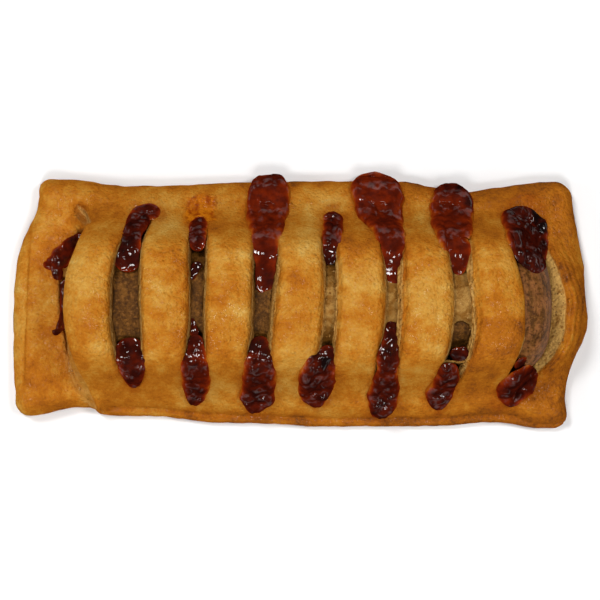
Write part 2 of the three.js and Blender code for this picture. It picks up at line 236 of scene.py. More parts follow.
def round_corners(x, y):
    """Squeezes the square corners of the outline into round ones."""
    side = np.where(x > 0, right_reach(y), left_reach(y))
    end = np.where(y > 0, far_reach(x), near_reach(x))
    p = np.clip(1 - (side - np.abs(x)) / CORNER_ROUND, 0, 1)
    q = np.clip(1 - (end - np.abs(y)) / CORNER_ROUND, 0, 1)
    squeeze = np.where((p > 0) & (q > 0), np.maximum(p, q) / np.maximum(np.hypot(p, q), 1e-9), 1)
    new_x = x - np.sign(x) * CORNER_ROUND * p * (1 - squeeze)
    new_y = y - np.sign(y) * CORNER_ROUND * q * (1 - squeeze)
    return new_x, new_y


middle_size = [left_reach(0.0) + right_reach(0.0), far_reach(0.0) + near_reach(0.0)]
print("outline, measured through the middle, mm:", np.round(middle_size, 1))

# %% [markdown]
# ## The eight slits
# Each slit is a list of (y, left edge, right edge), from its far end to its near end. The dough
# pulled back as it baked, so the cuts bow outwards at both ends of the roll. The first one is not
# quite a slit: there the lid's last strip overlaps the end flap, and its edge runs on as a shallow
# fold, which closes just before the outline.

# %% Slit edges
SLITS = [
    [(20.5, -63.6, -60), (15, -65.8, -61.6), (6, -68.8, -64.2), (-3, -68.4, -64.7), (-12, -66.8, -63.2),
     (-18, -66, -61.4), (-23, -64.4, -59.7), (-27, -62.2, -58.5), (-31, -59, -57.3)],
    [(25, -44.6, -41.4), (20, -47.5, -41.9), (12, -50.4, -42.9), (4, -51.7, -42.8), (-4, -51.7, -42.6),
     (-12, -51.1, -42.5), (-19, -49.8, -42.8), (-23.5, -47.6, -44.8)],
    [(24, -29.6, -26.6), (15, -30.6, -25), (5, -30.4, -25), (-5, -30.3, -25.3), (-13, -31.2, -25.3),
     (-20, -31.6, -26), (-26.5, -30.5, -28)],
    [(28, -11, -8), (20, -12.6, -6.2), (10, -13.1, -5.2), (0, -13.2, -6.2), (-8, -13.5, -7),
     (-15, -14.6, -7.5), (-22, -14.5, -8.4), (-28, -13, -10)],
    [(23.5, 7, 9.8), (15, 5.8, 10.3), (5, 6.1, 11), (-5, 5.8, 10.6), (-13, 4.8, 10), (-19, 2.5, 9.2),
     (-25, 2.6, 6.6)],
    [(28, 20, 25), (18, 21.4, 28.4), (8, 22.6, 28.7), (0, 22.8, 28.9), (-8, 22.2, 28.2),
     (-16, 20.7, 27.3), (-24, 20.5, 26.2), (-29, 20.5, 24)],
    [(28, 40, 46), (18, 39.8, 47), (9, 40.6, 47.6), (0, 41.3, 48.6), (-7, 40.9, 48.7),
     (-14, 39.9, 47.4), (-20, 37.9, 45.6), (-26, 37.6, 42.2)],
    [(25, 58, 66.5), (16, 57.6, 70.5), (8, 59.5, 73.6), (0, 61, 75.2), (-8, 61.1, 75),
     (-15, 59.4, 72.2), (-20, 57.8, 68), (-25, 57, 61.5)],
]
EDGES = [
    [curve_through([s[0] for s in slit], [s[side] for s in slit]) for side in (1, 2)] for slit in SLITS
]
FIRST, LAST = 0, 7  # the slits beside the left flap and beside the right border
SKINNED = (4, 5, 6)  # here a skin of dough stayed over the meat
WINDOW_SLIT = 6
WINDOW = {"x": 43.9, "y": -11.2, "half_width": 3.0, "half_length": 5.4, "drop": 3.6}
SLIT_DEPTH = 6.8
LAST_SLIT_DEPTH = 3.4  # the last slit opens onto the sloping end of the roll
END_TAPER = 6.0  # length over which a slit gets shallow at each of its ends
FOLD_DEPTHS = (1.2, 0.35)  # of the first slit: at its far end, and along the fold at its near end
FLAP_STEP = 1.6  # how much deeper the first slit is where the flap lies open beside it
OPEN_DEPTH = 3.0  # from this depth on, a slit has its full lips and its full lean


def slit_depth(n, y):
    """How deep slit n is at y, below the crust on both sides of it."""
    far, near = SLITS[n][0][0], SLITS[n][-1][0]
    taper = quarter_round((far - y) / END_TAPER) * quarter_round((y - near) / END_TAPER)
    if n == FIRST:
        fold = lerp(*FOLD_DEPTHS, smoothstep(-y, 11, 17)) * quarter_round((far - y) / END_TAPER)
        fold = fold * smoothstep(y, -34.2, -30)  # closed at the outline, which may not fold over
        return fold + FLAP_STEP * smoothstep(y, -14, -6) * taper
    return (LAST_SLIT_DEPTH if n == LAST else SLIT_DEPTH) * taper


print("slit widths at the middle:", [round(float(r(0.0) - l(0.0)), 1) for l, r in EDGES])

# %% [markdown]
# ## The lid as a height
# Before it is cut, the lid is a height over each point of the plan: a flat pressed border, a hump
# over the meat with steep sides, a crown on each strip, and the puffed pillows of the border. A
# height function is easy to reason about, and the relish can ask it where the crust lies.

# %% The hump
HUMP_HALF_WIDTH = 21.8
SIDE_STEEPNESS = 8.5  # the higher, the more upright the sides
ARCH = 0.06  # how much lower the hump is 15 mm from its middle line, as a share


def hump_ends(x, y):
    """1 over the strips, 0 over the flap and the right border."""
    left_lip, right_edge = EDGES[FIRST][1](y), EDGES[LAST][0](y)
    fold = (EDGES[FIRST][0](y) + left_lip) / 2
    softness = 0.02 + 7 * smoothstep(y, 17, 27)
    left = smoothstep(x, fold - softness, fold + softness)
    left = left * lerp(0.7, 1, quarter_round((x - left_lip + 0.5) / 9))
    right = 1 - smoothstep(x, right_edge + 0.8, np.maximum(EDGES[LAST][1](y) - 0.8, right_edge + 2))
    return left * right * lerp(0.9, 1, quarter_round((right_edge - x + 1) / 8))


def hump_at(x, y):
    """How much of the ridge's height a point has: 1 along the ridge, 0 on the border."""
    side_wave = 0.5 * soft_noise(x, 0, 0, 16, seed=3)
    arch = 1 - ARCH * (y / 15) ** 2
    across = plateau(y + 0.4, HUMP_HALF_WIDTH + side_wave, SIDE_STEEPNESS) * arch
    return np.maximum(across, 0) * hump_ends(x, y)


down_the_side = hump_at(np.zeros(4), np.array([0.0, 15.0, 21.8, 26.0]))
print("hump from the ridge down to the border:", np.round(down_the_side, 2))

# %% [markdown]
# Round the hump lies the border. At the left it is a flap, whose top layer ends short of a narrow
# rim. At the right it rises to a lip beyond the last slit. A row of pillows runs along each long
# side, and beside the lid's far left corner the skin is torn, which leaves a small pocket.

# %% The border
FLANGE_HEIGHT = 7.5
FLAP_RISE = 1.2
FLAP_SWELL = 1.8  # more, where the flap comes up against the lid
RIM_AT = -77.9
RIM_SLANT = 0.034
RIM_DROP = 1.4
RIGHT_LIP = 9.2
FAR_PILLOWS, NEAR_PILLOWS = 1.8, 1.2
POCKET = {"x": -61.4, "y": 24.8, "slant": -52, "half_length": 4.0, "half_width": 1.5, "depth": 3.4}


def rim_line(y):
    """Where the top layer of the left flap ends and a narrow rim of the layer below shows."""
    return RIM_AT + RIM_SLANT * y


def rim_reach(y):
    """1 along the rim, 0 beyond its two ends."""
    return plateau(y + 3.5, 19.5, 14)


def torn_pocket(x, y):
    """(along, across) the slanting tear beside the lid's far left corner, in half sizes."""
    from_x, from_y = x - POCKET["x"], y - POCKET["y"]
    slant = math.radians(POCKET["slant"])
    along = from_x * math.cos(slant) + from_y * math.sin(slant)
    across = from_y * math.cos(slant) - from_x * math.sin(slant)
    return along / POCKET["half_length"], across / POCKET["half_width"]


def flange_at(x, y):
    """Height that the border has, or would have where the hump stands."""
    flap = FLAP_RISE * (1 - smoothstep(x, -72, -64)) + FLAP_SWELL * swell(x, -66, 5) * plateau(y, 17, 6)
    rim = RIM_DROP * rim_reach(y) * (1 - smoothstep(x - rim_line(y), -0.5, 0.1))
    right_lip = RIGHT_LIP * swell(x, EDGES[LAST][1](y) + 0.8, 5.0) * plateau(y + 1.5, 16.5, 5)
    far_pillows = FAR_PILLOWS * swell(y, 28.5, 4) * (0.7 + 0.5 * soft_noise(x, 0, 0, 9, seed=11))
    near_pillows = NEAR_PILLOWS * swell(y, -29.5, 3.5) * (0.6 + 0.6 * soft_noise(x, 5, 0, 10, seed=12))
    along, across = torn_pocket(x, y)
    pocket = POCKET["depth"] * np.exp(-along**4 - across**2)
    torn_edges = 0.9 * np.exp(-(along**2) - ((across + 1.5) / 0.35) ** 2)
    torn_edges = torn_edges + 0.6 * np.exp(-(along**2) - ((across + 2.5) / 0.4) ** 2)
    end_fade = smoothstep(x, -70, -62) * (1 - smoothstep(x, 66, 74))
    pillows = (far_pillows + near_pillows) * end_fade
    return FLANGE_HEIGHT + flap + right_lip - rim - pocket + torn_edges + pillows


from_left = flange_at(np.array([-80.0, -68.0, 0.0, 76.0]), np.zeros(4))
print("border heights from left to right, mm:", np.round(from_left, 1))

# %% [markdown]
# Each strip puffed up between its two cuts, so it has a crown of its own and rounds down to its cut
# edges. Lumps of several sizes, from broad swells to small blisters, lie over the whole lid.

# %% Crowns and lumps
STRIP_CROWN = 1.5
CROWN_SPAN = 7.0
LIP_DROP = 0.8  # how far a strip's top rounds down to its cut edge
LIP_ROUND = 1.7
FAR_AWAY = 99.0  # stands for a distance or depth that doesn't count


def crown_at(x, y):
    """The strips' own crown, and the rounding down to their cut edges."""
    clear = np.full(np.broadcast(x, y).shape, FAR_AWAY)
    for n, (left, right) in enumerate(EDGES):
        from_slit = np.maximum(left(y) - x, x - right(y))
        closing = 1 - quarter_round(slit_depth(n, y) / OPEN_DEPTH)
        clear = np.minimum(clear, np.maximum(from_slit, 0) + CROWN_SPAN * closing)
    return STRIP_CROWN * quarter_round(clear / CROWN_SPAN) - LIP_DROP * (1 - quarter_round(clear / LIP_ROUND))


def lumps_at(x, y):
    """Unevenness of the baked lid, in mm; the blisters sit where it swells up."""
    broad = 0.55 * soft_noise(x, y, 0, 17, seed=21)
    middling = 0.34 * soft_noise(x, y, 0, 6.5, seed=22)
    ripples = 0.17 * soft_noise(x * 0.45, y, 0, 2.8, seed=23)
    blisters = 0.16 * np.abs(soft_noise(x, y, 0, 1.9, seed=24)) * smoothstep(broad, -0.2, 0.25)
    return broad + middling + ripples + blisters


across_a_strip = crown_at(np.array([0.0, -3.0, -6.0]), np.zeros(3))
print("crown of a strip from its middle to its edge, mm:", np.round(across_a_strip, 2))

# %% [markdown]
# Where two layers of dough meet there is a thin groove. The grooves are worked out as values from 0
# to 1, because they are needed twice: the height takes a little off there, and the material paints
# shade into them.

# %% Folds between the layers
LIP_LAYERS = (1.1, 2.9, 4.9)  # folds beyond the right lip, where the layers of dough end in arcs
LEDGE_WIDTH = 2.3  # along the near side the bottom sheet reaches this far beyond the lid


def ledge_share(x):
    """How much of the ledge there is along the near side: none beside the flap, half at the right."""
    return smoothstep(x, -57.5, -55) * (1 - 0.5 * smoothstep(x, 60, 70))


def creases_at(x, y):
    """0 to 1: how deep a point lies in one of the folds between layers of dough."""
    broken = smoothstep(soft_noise(x, y, 0, 7, seed=36), -0.35, 0.3)
    rim = swell(x, rim_line(y), 0.3) * rim_reach(y) * (0.5 + 0.5 * broken)
    beyond_lip = x - EDGES[LAST][1](y) + 0.5 * soft_noise(0, y, 0, 6, seed=33)
    arcs = sum(swell(beyond_lip, at, 0.45) for at in LIP_LAYERS) * plateau(y + 1, 16, 6)
    line = 21.4 + 1.5 * soft_noise(x, 0, 0, 9, seed=31)
    far_fold = swell(y, line, 0.6) * smoothstep(x, -56, -50) * (1 - smoothstep(x, 50, 56)) * broken
    near = near_reach(x) + y + 0.4 * soft_noise(x, 0, 0, 5, seed=34)
    layers = (swell(near, 1.1, 0.25) + swell(near, LEDGE_WIDTH, 0.4)) * ledge_share(x)
    return np.clip(rim + arcs + 0.4 * far_fold + 0.6 * layers * (0.3 + 0.7 * broken), 0, 1)


# %% [markdown]
# All of this adds up to the height of the lid. It rounds down to a low side wall along the outline,
# and along the near side the bottom sheet of the parcel stands out under it as a narrow ledge.

# %% Height of the lid
RIDGE_HEIGHT = 34.6
SIDE_WALL = 2.4
EDGE_ROUND = 5.0
CREASE_DEPTH = 0.75
LEDGE_HEIGHT = 3.7


def lid_height(x, y):
    """Height of the lid over each point of the plan, before the slits are cut."""
    flange, hump = flange_at(x, y), hump_at(x, y)
    crown = crown_at(x, y) * (0.25 + 0.75 * hump)
    full = flange + (RIDGE_HEIGHT - flange) * hump + crown + lumps_at(x, y)
    full = full - CREASE_DEPTH * creases_at(x, y)
    near = near_reach(x) + y
    shelf = LEDGE_WIDTH * ledge_share(x) * (1 + 0.2 * soft_noise(x, 0, 0, 6, seed=35))
    inside = np.minimum(edge_clearance(x, y), np.maximum(near - shelf, 0))
    sheet = (LEDGE_HEIGHT - SIDE_WALL) * quarter_round(near / 1.2) * (1 - smoothstep(near, 5, 9))
    return lerp(SIDE_WALL + sheet * ledge_share(x), full, quarter_round(inside / EDGE_ROUND))


trial = lid_height(np.array([-75.0, -37.0, 0.0, 50.0, 80.0]), np.zeros(5))
print("lid heights along the middle line, mm:", np.round(trial, 1))

# %% [markdown]
# ## The log of meat
# The meat is an oval log with rounded ends. Its surface is needed twice: as the meat itself, and,
# a hair wider, as the cavity that is cut out of the crust. One function gives both.

# %% Meat surface
LOG_LEFT, LOG_RIGHT = -62.2, 70.2
LOG_HALF_WIDTH = 17.4
LOG_BOTTOM, LOG_TOP = 3.4, 30.2
LOG_END_ROUND = 10.0
LOG_END_POWER = 2.6
LOG_MIDDLE = (LOG_BOTTOM + LOG_TOP) / 2
LOG_HALF_HEIGHT = (LOG_TOP - LOG_BOTTOM) / 2


def log_size(to_end):
    """1 along the log, less near its rounded ends."""
    rest = 1 - np.clip(to_end / LOG_END_ROUND, 0, 1)
    return (1 - rest**LOG_END_POWER) ** (1 / LOG_END_POWER)


def log_bend(x):
    """The log's right end lies a little nearer than the rest."""
    return -1.3 * smoothstep(x, 46, 70)


def log_points(grow, rings, sides, rough=0.0):
    """A grid of rings x sides points on the log, grown by `grow` and roughened by `rough`."""
    turn = (1 - np.cos(np.linspace(0.02, 0.98, rings) * math.pi)) / 2
    x = lerp(LOG_LEFT - grow, LOG_RIGHT + grow, lerp(turn, np.linspace(0, 1, rings), 0.6))[:, None]
    angle = np.linspace(0, 2 * math.pi, sides, endpoint=False)[None, :]
    size = log_size(np.minimum(x - LOG_LEFT + grow, LOG_RIGHT + grow - x)) * (1 + 0.02 * np.sin(x / 9))
    y = (LOG_HALF_WIDTH + grow) * size * np.cos(angle)
    z = LOG_MIDDLE + (LOG_HALF_HEIGHT + grow) * size * np.sin(angle)
    x = x + 0 * angle
    if rough:
        lump = rough * layered_noise(x, y, z, 5, seed=41)
        y, z = y + lump * np.cos(angle), z + lump * np.sin(angle)
    return np.stack([x, y + log_bend(x), z], axis=-1)


def log_top_at(x, y):
    """Height of the meat's top over a point of the plan; far below the meat outside it."""
    size = log_size(np.minimum(x - LOG_LEFT, LOG_RIGHT - x))
    inside = 1 - ((y - log_bend(x)) / (LOG_HALF_WIDTH * np.maximum(size, 0.01))) ** 2
    top = LOG_MIDDLE + LOG_HALF_HEIGHT * size * np.sqrt(np.clip(inside, 0, 1))
    return np.where(inside > 0, top, -FAR_AWAY)


log_sizes = [LOG_RIGHT - LOG_LEFT, 2 * LOG_HALF_WIDTH, LOG_TOP - LOG_BOTTOM]
print("meat, length, width and height in mm:", np.round(log_sizes, 1))

# %% [markdown]
# ## Meshes from grids
# Most pieces here are grids of points bent into shape. A closed tube needs its rings joined round
# and its two ends capped; numpy makes the list of faces, and `from_pydata` makes the mesh.

# %% Mesh helpers
def grid_faces(rows, columns, wrap=False):
    """Faces of a grid of points numbered row by row; `wrap` joins the last column to the first."""
    j = np.arange(rows - 1)[:, None]
    i = np.arange(columns if wrap else columns - 1)[None, :]
    here, right = j * columns + i, j * columns + (i + 1) % columns
    return np.stack([here, right, right + columns, here + columns], axis=-1).reshape(-1, 4)


def make_piece(name, points, faces):
    """A smooth mesh object from points in mm of the drawing frame."""
    mesh = bpy.data.meshes.new(name)
    mesh.from_pydata(to_model(points).tolist(), [], [list(map(int, face)) for face in faces])
    mesh.validate()
    mesh.shade_smooth()
    piece = bpy.data.objects.new(name, mesh)
    bpy.context.scene.collection.objects.link(piece)
    return piece


def log_piece(name, points):
    """A closed log from its rings of points, capped at both ends round their middle points."""
    rings, sides, _ = points.shape
    centres = [points[0].mean(axis=0), points[-1].mean(axis=0)]
    first, last = rings * sides, rings * sides + 1
    base = (rings - 1) * sides
    faces = list(grid_faces(rings, sides, wrap=True))
    faces += [(first, (i + 1) % sides, i) for i in range(sides)]
    faces += [(last, base + i, base + (i + 1) % sides) for i in range(sides)]
    return make_piece(name, np.vstack([points.reshape(-1, 3), centres]), faces)


def add_value(piece, name, values):
    """Stores one number for each point of the mesh, for a material to read."""
    attribute = piece.data.attributes.new(name, "FLOAT", "POINT")
    attribute.data.foreach_set("value", np.asarray(values, np.float32))


def points_of(piece):
    """The piece's points in mm of the drawing frame."""
    flat = np.empty(len(piece.data.vertices) * 3, np.float32)
    piece.data.vertices.foreach_get("co", flat)
    return flat.reshape(-1, 3).astype(float) / MM - DRAWING_ORIGIN


# %% [markdown]
# ## The crust's grid
# The crust could be a plain height map, but then each cut face would be a few stretched faces with
# jagged edges. Here the columns of the grid follow the slits instead: some run along each strip,
# and each slit has its own columns down one wall, over its floor and up the other wall. So the cut
# edges stay crisp, the walls can lean, and the lips can be rounded.

# %% Columns across one row
WALL_COLUMNS = 12
FLOOR_COLUMNS = 8
STRIP_COLUMNS = 22
BORDER_COLUMNS = 30
CLIFF_COLUMNS = 20  # down the tall end of the lid, beside the left flap
FLAT_ROWS = 56
EDGE_ROWS = 26
EVEN_UNTIL = 26.0  # rows this close to the middle line are straight
LAST_LEVEL = 34.5  # the level of the outermost row, which follows the outline
EDGE_CROWDING = 1.35  # above 1, the rows draw together towards the outline


def row_levels():
    """The levels of all rows, from the near outline to the far one."""
    inner = np.linspace(0, EVEN_UNTIL, FLAT_ROWS)
    share = np.linspace(0, 1, EDGE_ROWS + 1)[1:]
    outer = EVEN_UNTIL + (LAST_LEVEL - EVEN_UNTIL) * (1 - (1 - share) ** EDGE_CROWDING)
    half = np.concatenate([inner, outer])
    return np.concatenate([-half[:0:-1], half])


def lengthwise(y_level, x):
    """The real y of a row: straight near the middle line, then spread out to the wavy outline."""
    share = np.clip((np.abs(y_level) - EVEN_UNTIL) / (LAST_LEVEL - EVEN_UNTIL), 0, 1)
    reach = np.where(y_level > 0, far_reach(x), near_reach(x))
    return np.where(share > 0, np.sign(y_level) * lerp(EVEN_UNTIL, reach, share), y_level)


def spread(count):
    """Shares from 0 to 1, somewhat closer at both ends, without the ends themselves."""
    even = np.linspace(0, 1, count + 2)[1:-1]
    return lerp(even, (1 - np.cos(even * math.pi)) / 2, 0.45)


print("rows of the crust's grid:", len(row_levels()))

# %% [markdown]
# A cut wall of puff pastry is a stack of thin layers that opened up in the oven. Each layer stands
# out a little further than the one above, so from above they read as fine lines along the cut.
# `wall` gives, for each of its columns, how far it leans into the slit and how far it has dropped.

# %% Walls of a slit
LAYERS_AT = (0.05, 0.24, 0.43)  # how far down each layer stands out, as shares of the depth
LAYER_EDGE = 0.07
HOLLOW_FROM = 0.7  # below this share of the depth the wall draws back
# How far the left and the right wall of each slit lean in.
LEANS = [(0.3, 1.0), (0.9, 1.3), (0.8, 1.3), (1.0, 1.8), (1.0, 1.2), (0.9, 2.1), (0.9, 2.2), (1.2, 4.2)]
APRON_REACH = 3.1  # how far the foot of the lid's tall end spreads over the flap, at its near end


def layered_lean(share, y, seed):
    """0 at the lip, up to 1 below the last layer, in one small step for each layer."""
    wander = 0.05 * soft_noise(y, 0, 0, 7, seed)
    steps = [smoothstep(share, at + wander, at + wander + LAYER_EDGE) for at in LAYERS_AT]
    return sum(steps) / len(LAYERS_AT)


def wall(n, side, y, depth, count):
    """(lean into the slit, drop) for each column of one wall, for every row."""
    share = np.linspace(0, 1, count)[None, :] ** 1.2
    side_number = ("left", "right").index(side)
    reach = LEANS[n][side_number] * (1 + 0.25 * soft_noise(y, 0, 0, 5, seed=54 + side_number))[:, None]
    lean = reach * layered_lean(share, y[:, None], 56 + n) * np.clip(depth[:, None] / OPEN_DEPTH, 0, 1)
    hollow = (reach + 0.5) * smoothstep(share, HOLLOW_FROM, 1)
    if (n, side) == (LAST, "right"):  # a wide wall, which slopes evenly down to the meat
        lean = 0.5 * lean + 0.55 * reach * share
        hollow = 0
    if (n, side) == (FIRST, "right"):  # the lid's tall end, whose foot spreads out in two steps
        apron = smoothstep(y, -8, -17)[:, None]
        steps = smoothstep(share, 0.3, 0.6) + smoothstep(share, 0.66, 0.9)
        lean = lean + APRON_REACH * apron * steps / 2
        hollow = (0.5 * smoothstep(share, 0.14, 0.3) - 1.3 * smoothstep(share, 0.6, 1)) * (1 - apron)
    return lean - hollow, depth[:, None] * share


print("the most that a wall leans in, mm:", max(max(pair) for pair in LEANS))

# %% [markdown]
# Some slits opened right down to the meat. In others a thin skin of dough stayed over it. In slit 6,
# counted from 0, that skin tore open in one place, and beside the tear a thin bridge of dough still
# crosses the slit.

# %% Floor of a slit
SKIN = 0.9
BRIDGE_AT = -16.8
BRIDGE_SINK = 1.2  # how far the bridge lies below the lips of its slit


def slit_floor(n, x, y, lip, depth):
    """Height of slit n's floor. A skin of dough over the meat is never lower than the meat."""
    floor = lip - depth
    if n in SKINNED:
        skin = log_top_at(x, y) + SKIN
        floor = np.maximum(floor, np.minimum(skin, lip))
    if n == WINDOW_SLIT:
        floor = floor + (lip - BRIDGE_SINK - floor) * swell(y, BRIDGE_AT, 0.7) * smoothstep(depth, 1, 3)
    return floor


def window_drop(x, y):
    """How far the skin sinks where it tore open to the meat, in slit 6."""
    away = np.hypot((x - WINDOW["x"]) / WINDOW["half_width"], (y - WINDOW["y"]) / WINDOW["half_length"])
    return WINDOW["drop"] * (1 - smoothstep(away, 0.85, 1.05))


# %% [markdown]
# A slit's block of columns runs down its left wall, over its floor and up its right wall. Where the
# slit gets shallow, near its ends, the block goes back to even columns that lie on the lid, so that
# the cut fades out with no step. The strips between have plain columns, closer together at the lips.

# %% Build the grid
RAGGED = 0.22  # how far the torn layers of a wall stick out or draw back
FLOOR_ROUGHNESS = 0.5


def slit_block(n, level):
    """x and z of all columns of slit n, for every row."""
    left, right = EDGES[n][0](level), EDGES[n][1](level)
    y = lengthwise(level, (left + right) / 2)
    depth = slit_depth(n, level)
    left_lip, right_lip = lid_height(left, y), lid_height(right, y)
    floor = slit_floor(n, (left + right) / 2, y, np.minimum(left_lip, right_lip), depth)
    left_lean, left_drop = wall(n, "left", y, left_lip - floor, WALL_COLUMNS)
    right_count = CLIFF_COLUMNS if n == FIRST else WALL_COLUMNS
    right_lean, right_drop = wall(n, "right", y, right_lip - floor, right_count)
    ragged = RAGGED * soft_noise(y[:, None], left_drop * 1.5, n, 1.6, seed=51)
    left_x = left[:, None] + left_lean + ragged * np.clip(left_drop, 0, 1)
    left_z = left_lip[:, None] - left_drop
    ragged = RAGGED * soft_noise(y[:, None], right_drop * 1.5, n, 1.6, seed=52)
    right_x = right[:, None] - right_lean - ragged * np.clip(right_drop, 0, 1)
    right_z = right_lip[:, None] - right_drop
    across = np.linspace(0, 1, FLOOR_COLUMNS + 2)[None, 1:-1]
    floor_x = lerp(left_x[:, -1:], right_x[:, -1:], across)
    rough = FLOOR_ROUGHNESS * layered_noise(floor_x, y[:, None], n, 2.2, seed=53)
    floor_z = floor[:, None] + rough * np.clip(depth, 0, 1)[:, None]
    if n == WINDOW_SLIT:
        floor_z = floor_z - window_drop(floor_x, y[:, None])
    x = np.hstack([left_x, floor_x, right_x[:, ::-1]])
    z = np.hstack([left_z, floor_z, right_z[:, ::-1]])
    open_share = smoothstep(depth, 0.05, 0.9)[:, None]
    even = lerp(left[:, None], right[:, None], np.linspace(0, 1, x.shape[1])[None, :])
    x = lerp(even, x, open_share)
    closed = lid_height(x, lengthwise(level[:, None], x))
    return x, lerp(closed, z, open_share)


def crust_grid():
    """x, y and z of the whole top of the crust, from the left end to the right end."""
    level = row_levels()
    blocks_x, blocks_z = [], []

    def add_open(start, end, shares):
        x = lerp(start[:, None], end[:, None], shares[None, :])
        y = lengthwise(level[:, None], x)
        blocks_x.append(x)
        blocks_z.append(lid_height(x, y))

    border = 1 - (1 - np.linspace(0, 1, BORDER_COLUMNS, endpoint=False)) ** 0.8
    add_open(-left_reach(level), EDGES[FIRST][0](level), border)
    for n in range(len(SLITS)):
        x, z = slit_block(n, level)
        blocks_x.append(x)
        blocks_z.append(z)
        if n < LAST:
            add_open(EDGES[n][1](level), EDGES[n + 1][0](level), spread(STRIP_COLUMNS))
    add_open(EDGES[LAST][1](level), right_reach(level), 1 - border[::-1])
    x, z = np.hstack(blocks_x), np.hstack(blocks_z)
    y = lengthwise(level[:, None], x)
    return x, y, z


grid_x, grid_y, grid_z = crust_grid()
print("crust grid:", grid_x.shape, "height", round(float(grid_z.min()), 2), round(float(grid_z.max()), 2))

# %% [markdown]
# ## Closing the crust
# The grid is only the top. Its border is carried down in rings, which bulge in and out as the
# layers of puff pastry do at a cut edge, and a flat base closes the shape. The base is one face with
# many corners, which works only if its outline never crosses itself. So the direction outwards is
# averaged over several border points, which keeps it steady round the corners.

# %% Side walls and base
SIDE_RINGS = 9
BULGE = 0.32  # how far the layers stand out of the side wall
BULGE_TURN = 12  # radians of their wave from the rim to the base
FOOT_DRAW = 0.5  # how far the wall draws in at its foot
WALL_WAVE = 0.2
DIRECTION_SPAN = 8  # border points on each side that the direction outwards is averaged over


def border_loop(rows, columns):
    """Numbers of the grid's border points, anticlockwise from above."""
    first, last = 0, (rows - 1) * columns
    return np.concatenate([
        np.arange(first, first + columns - 1),
        np.arange(columns - 1, rows * columns - 1, columns),
        np.arange(last + columns - 1, last, -1),
        np.arange(last, first, -columns),
    ])


def close_below(x, y, z):
    """Points and faces of the closed parcel: the top, the side walls and the base."""
    rows, columns = x.shape
    round_x, round_y = round_corners(x, y)
    top = np.stack([round_x, round_y, z], axis=-1).reshape(-1, 3)
    loop = border_loop(rows, columns)
    edge = top[loop]
    spans = range(1, DIRECTION_SPAN + 1)
    ahead = sum(np.roll(edge, -n, axis=0) - np.roll(edge, n, axis=0) for n in spans)[:, :2]
    outward = np.stack([ahead[:, 1], -ahead[:, 0]], axis=-1) / np.linalg.norm(ahead, axis=1)[:, None]
    points, faces = [top], list(grid_faces(rows, columns))
    upper = loop
    for ring in range(1, SIDE_RINGS + 1):
        down = ring / SIDE_RINGS
        bulge = BULGE * math.sin(down * BULGE_TURN) * (1 - down) - FOOT_DRAW * down * down
        wave = WALL_WAVE * soft_noise(edge[:, 0], edge[:, 1], ring * 3.0, 2.5, seed=61)
        ring_points = edge.copy()
        ring_points[:, :2] += outward * (bulge + wave * (ring < SIDE_RINGS))[:, None]
        ring_points[:, 2] = edge[:, 2] * (1 - down)
        lower = len(np.vstack(points)) + np.arange(len(loop))
        points.append(ring_points)
        following = np.roll(np.arange(len(loop)), -1)
        faces += list(np.stack([upper, lower, lower[following], upper[following]], axis=-1))
        upper = lower
    faces.append(upper[::-1])
    return np.vstack(points), faces


crust_points, crust_faces = close_below(grid_x, grid_y, grid_z)
pastry = make_piece("pastry_crust", crust_points, crust_faces)
print("crust before the cut:", len(pastry.data.vertices), "points")

# %% [markdown]
# Then the cavity for the meat is cut out with a Boolean modifier, so that an open slit really looks
# into a hollow crust. The solver for closed shapes is quick and exact, but it needs the faces of
# both shapes to point outwards: a cutter that is inside out hollows nothing. The result is copied
# into a plain mesh, and the modifier is removed.

# %% Cut out the cavity
CAVITY_GAP = 0.25  # between the crust and the meat

cavity = log_piece("cavity", log_points(grow=CAVITY_GAP, rings=60, sides=56))
cut = pastry.modifiers.new("cavity", "BOOLEAN")
cut.operation = "DIFFERENCE"
cut.solver = "MANIFOLD"
cut.object = cavity
hollow = bpy.data.meshes.new_from_object(pastry.evaluated_get(bpy.context.evaluated_depsgraph_get()))
pastry.modifiers.clear()
pastry.data = hollow
pastry.data.name = "pastry_crust"
bpy.data.objects.remove(cavity)
print("crust after the cut:", len(pastry.data.vertices), "points,", len(pastry.data.polygons), "faces")

# %% [markdown]
# ## Where the relish lies
# Each pool is a tongue: a line of (x, y, half width, lift) stations down its middle. Lift is how
# far it stands on the crust; where the tongue runs back into its slit, the lift is negative and
# the relish lies below the strips on both sides. The crust needs these places too, because the
# dough round a pool is stained.

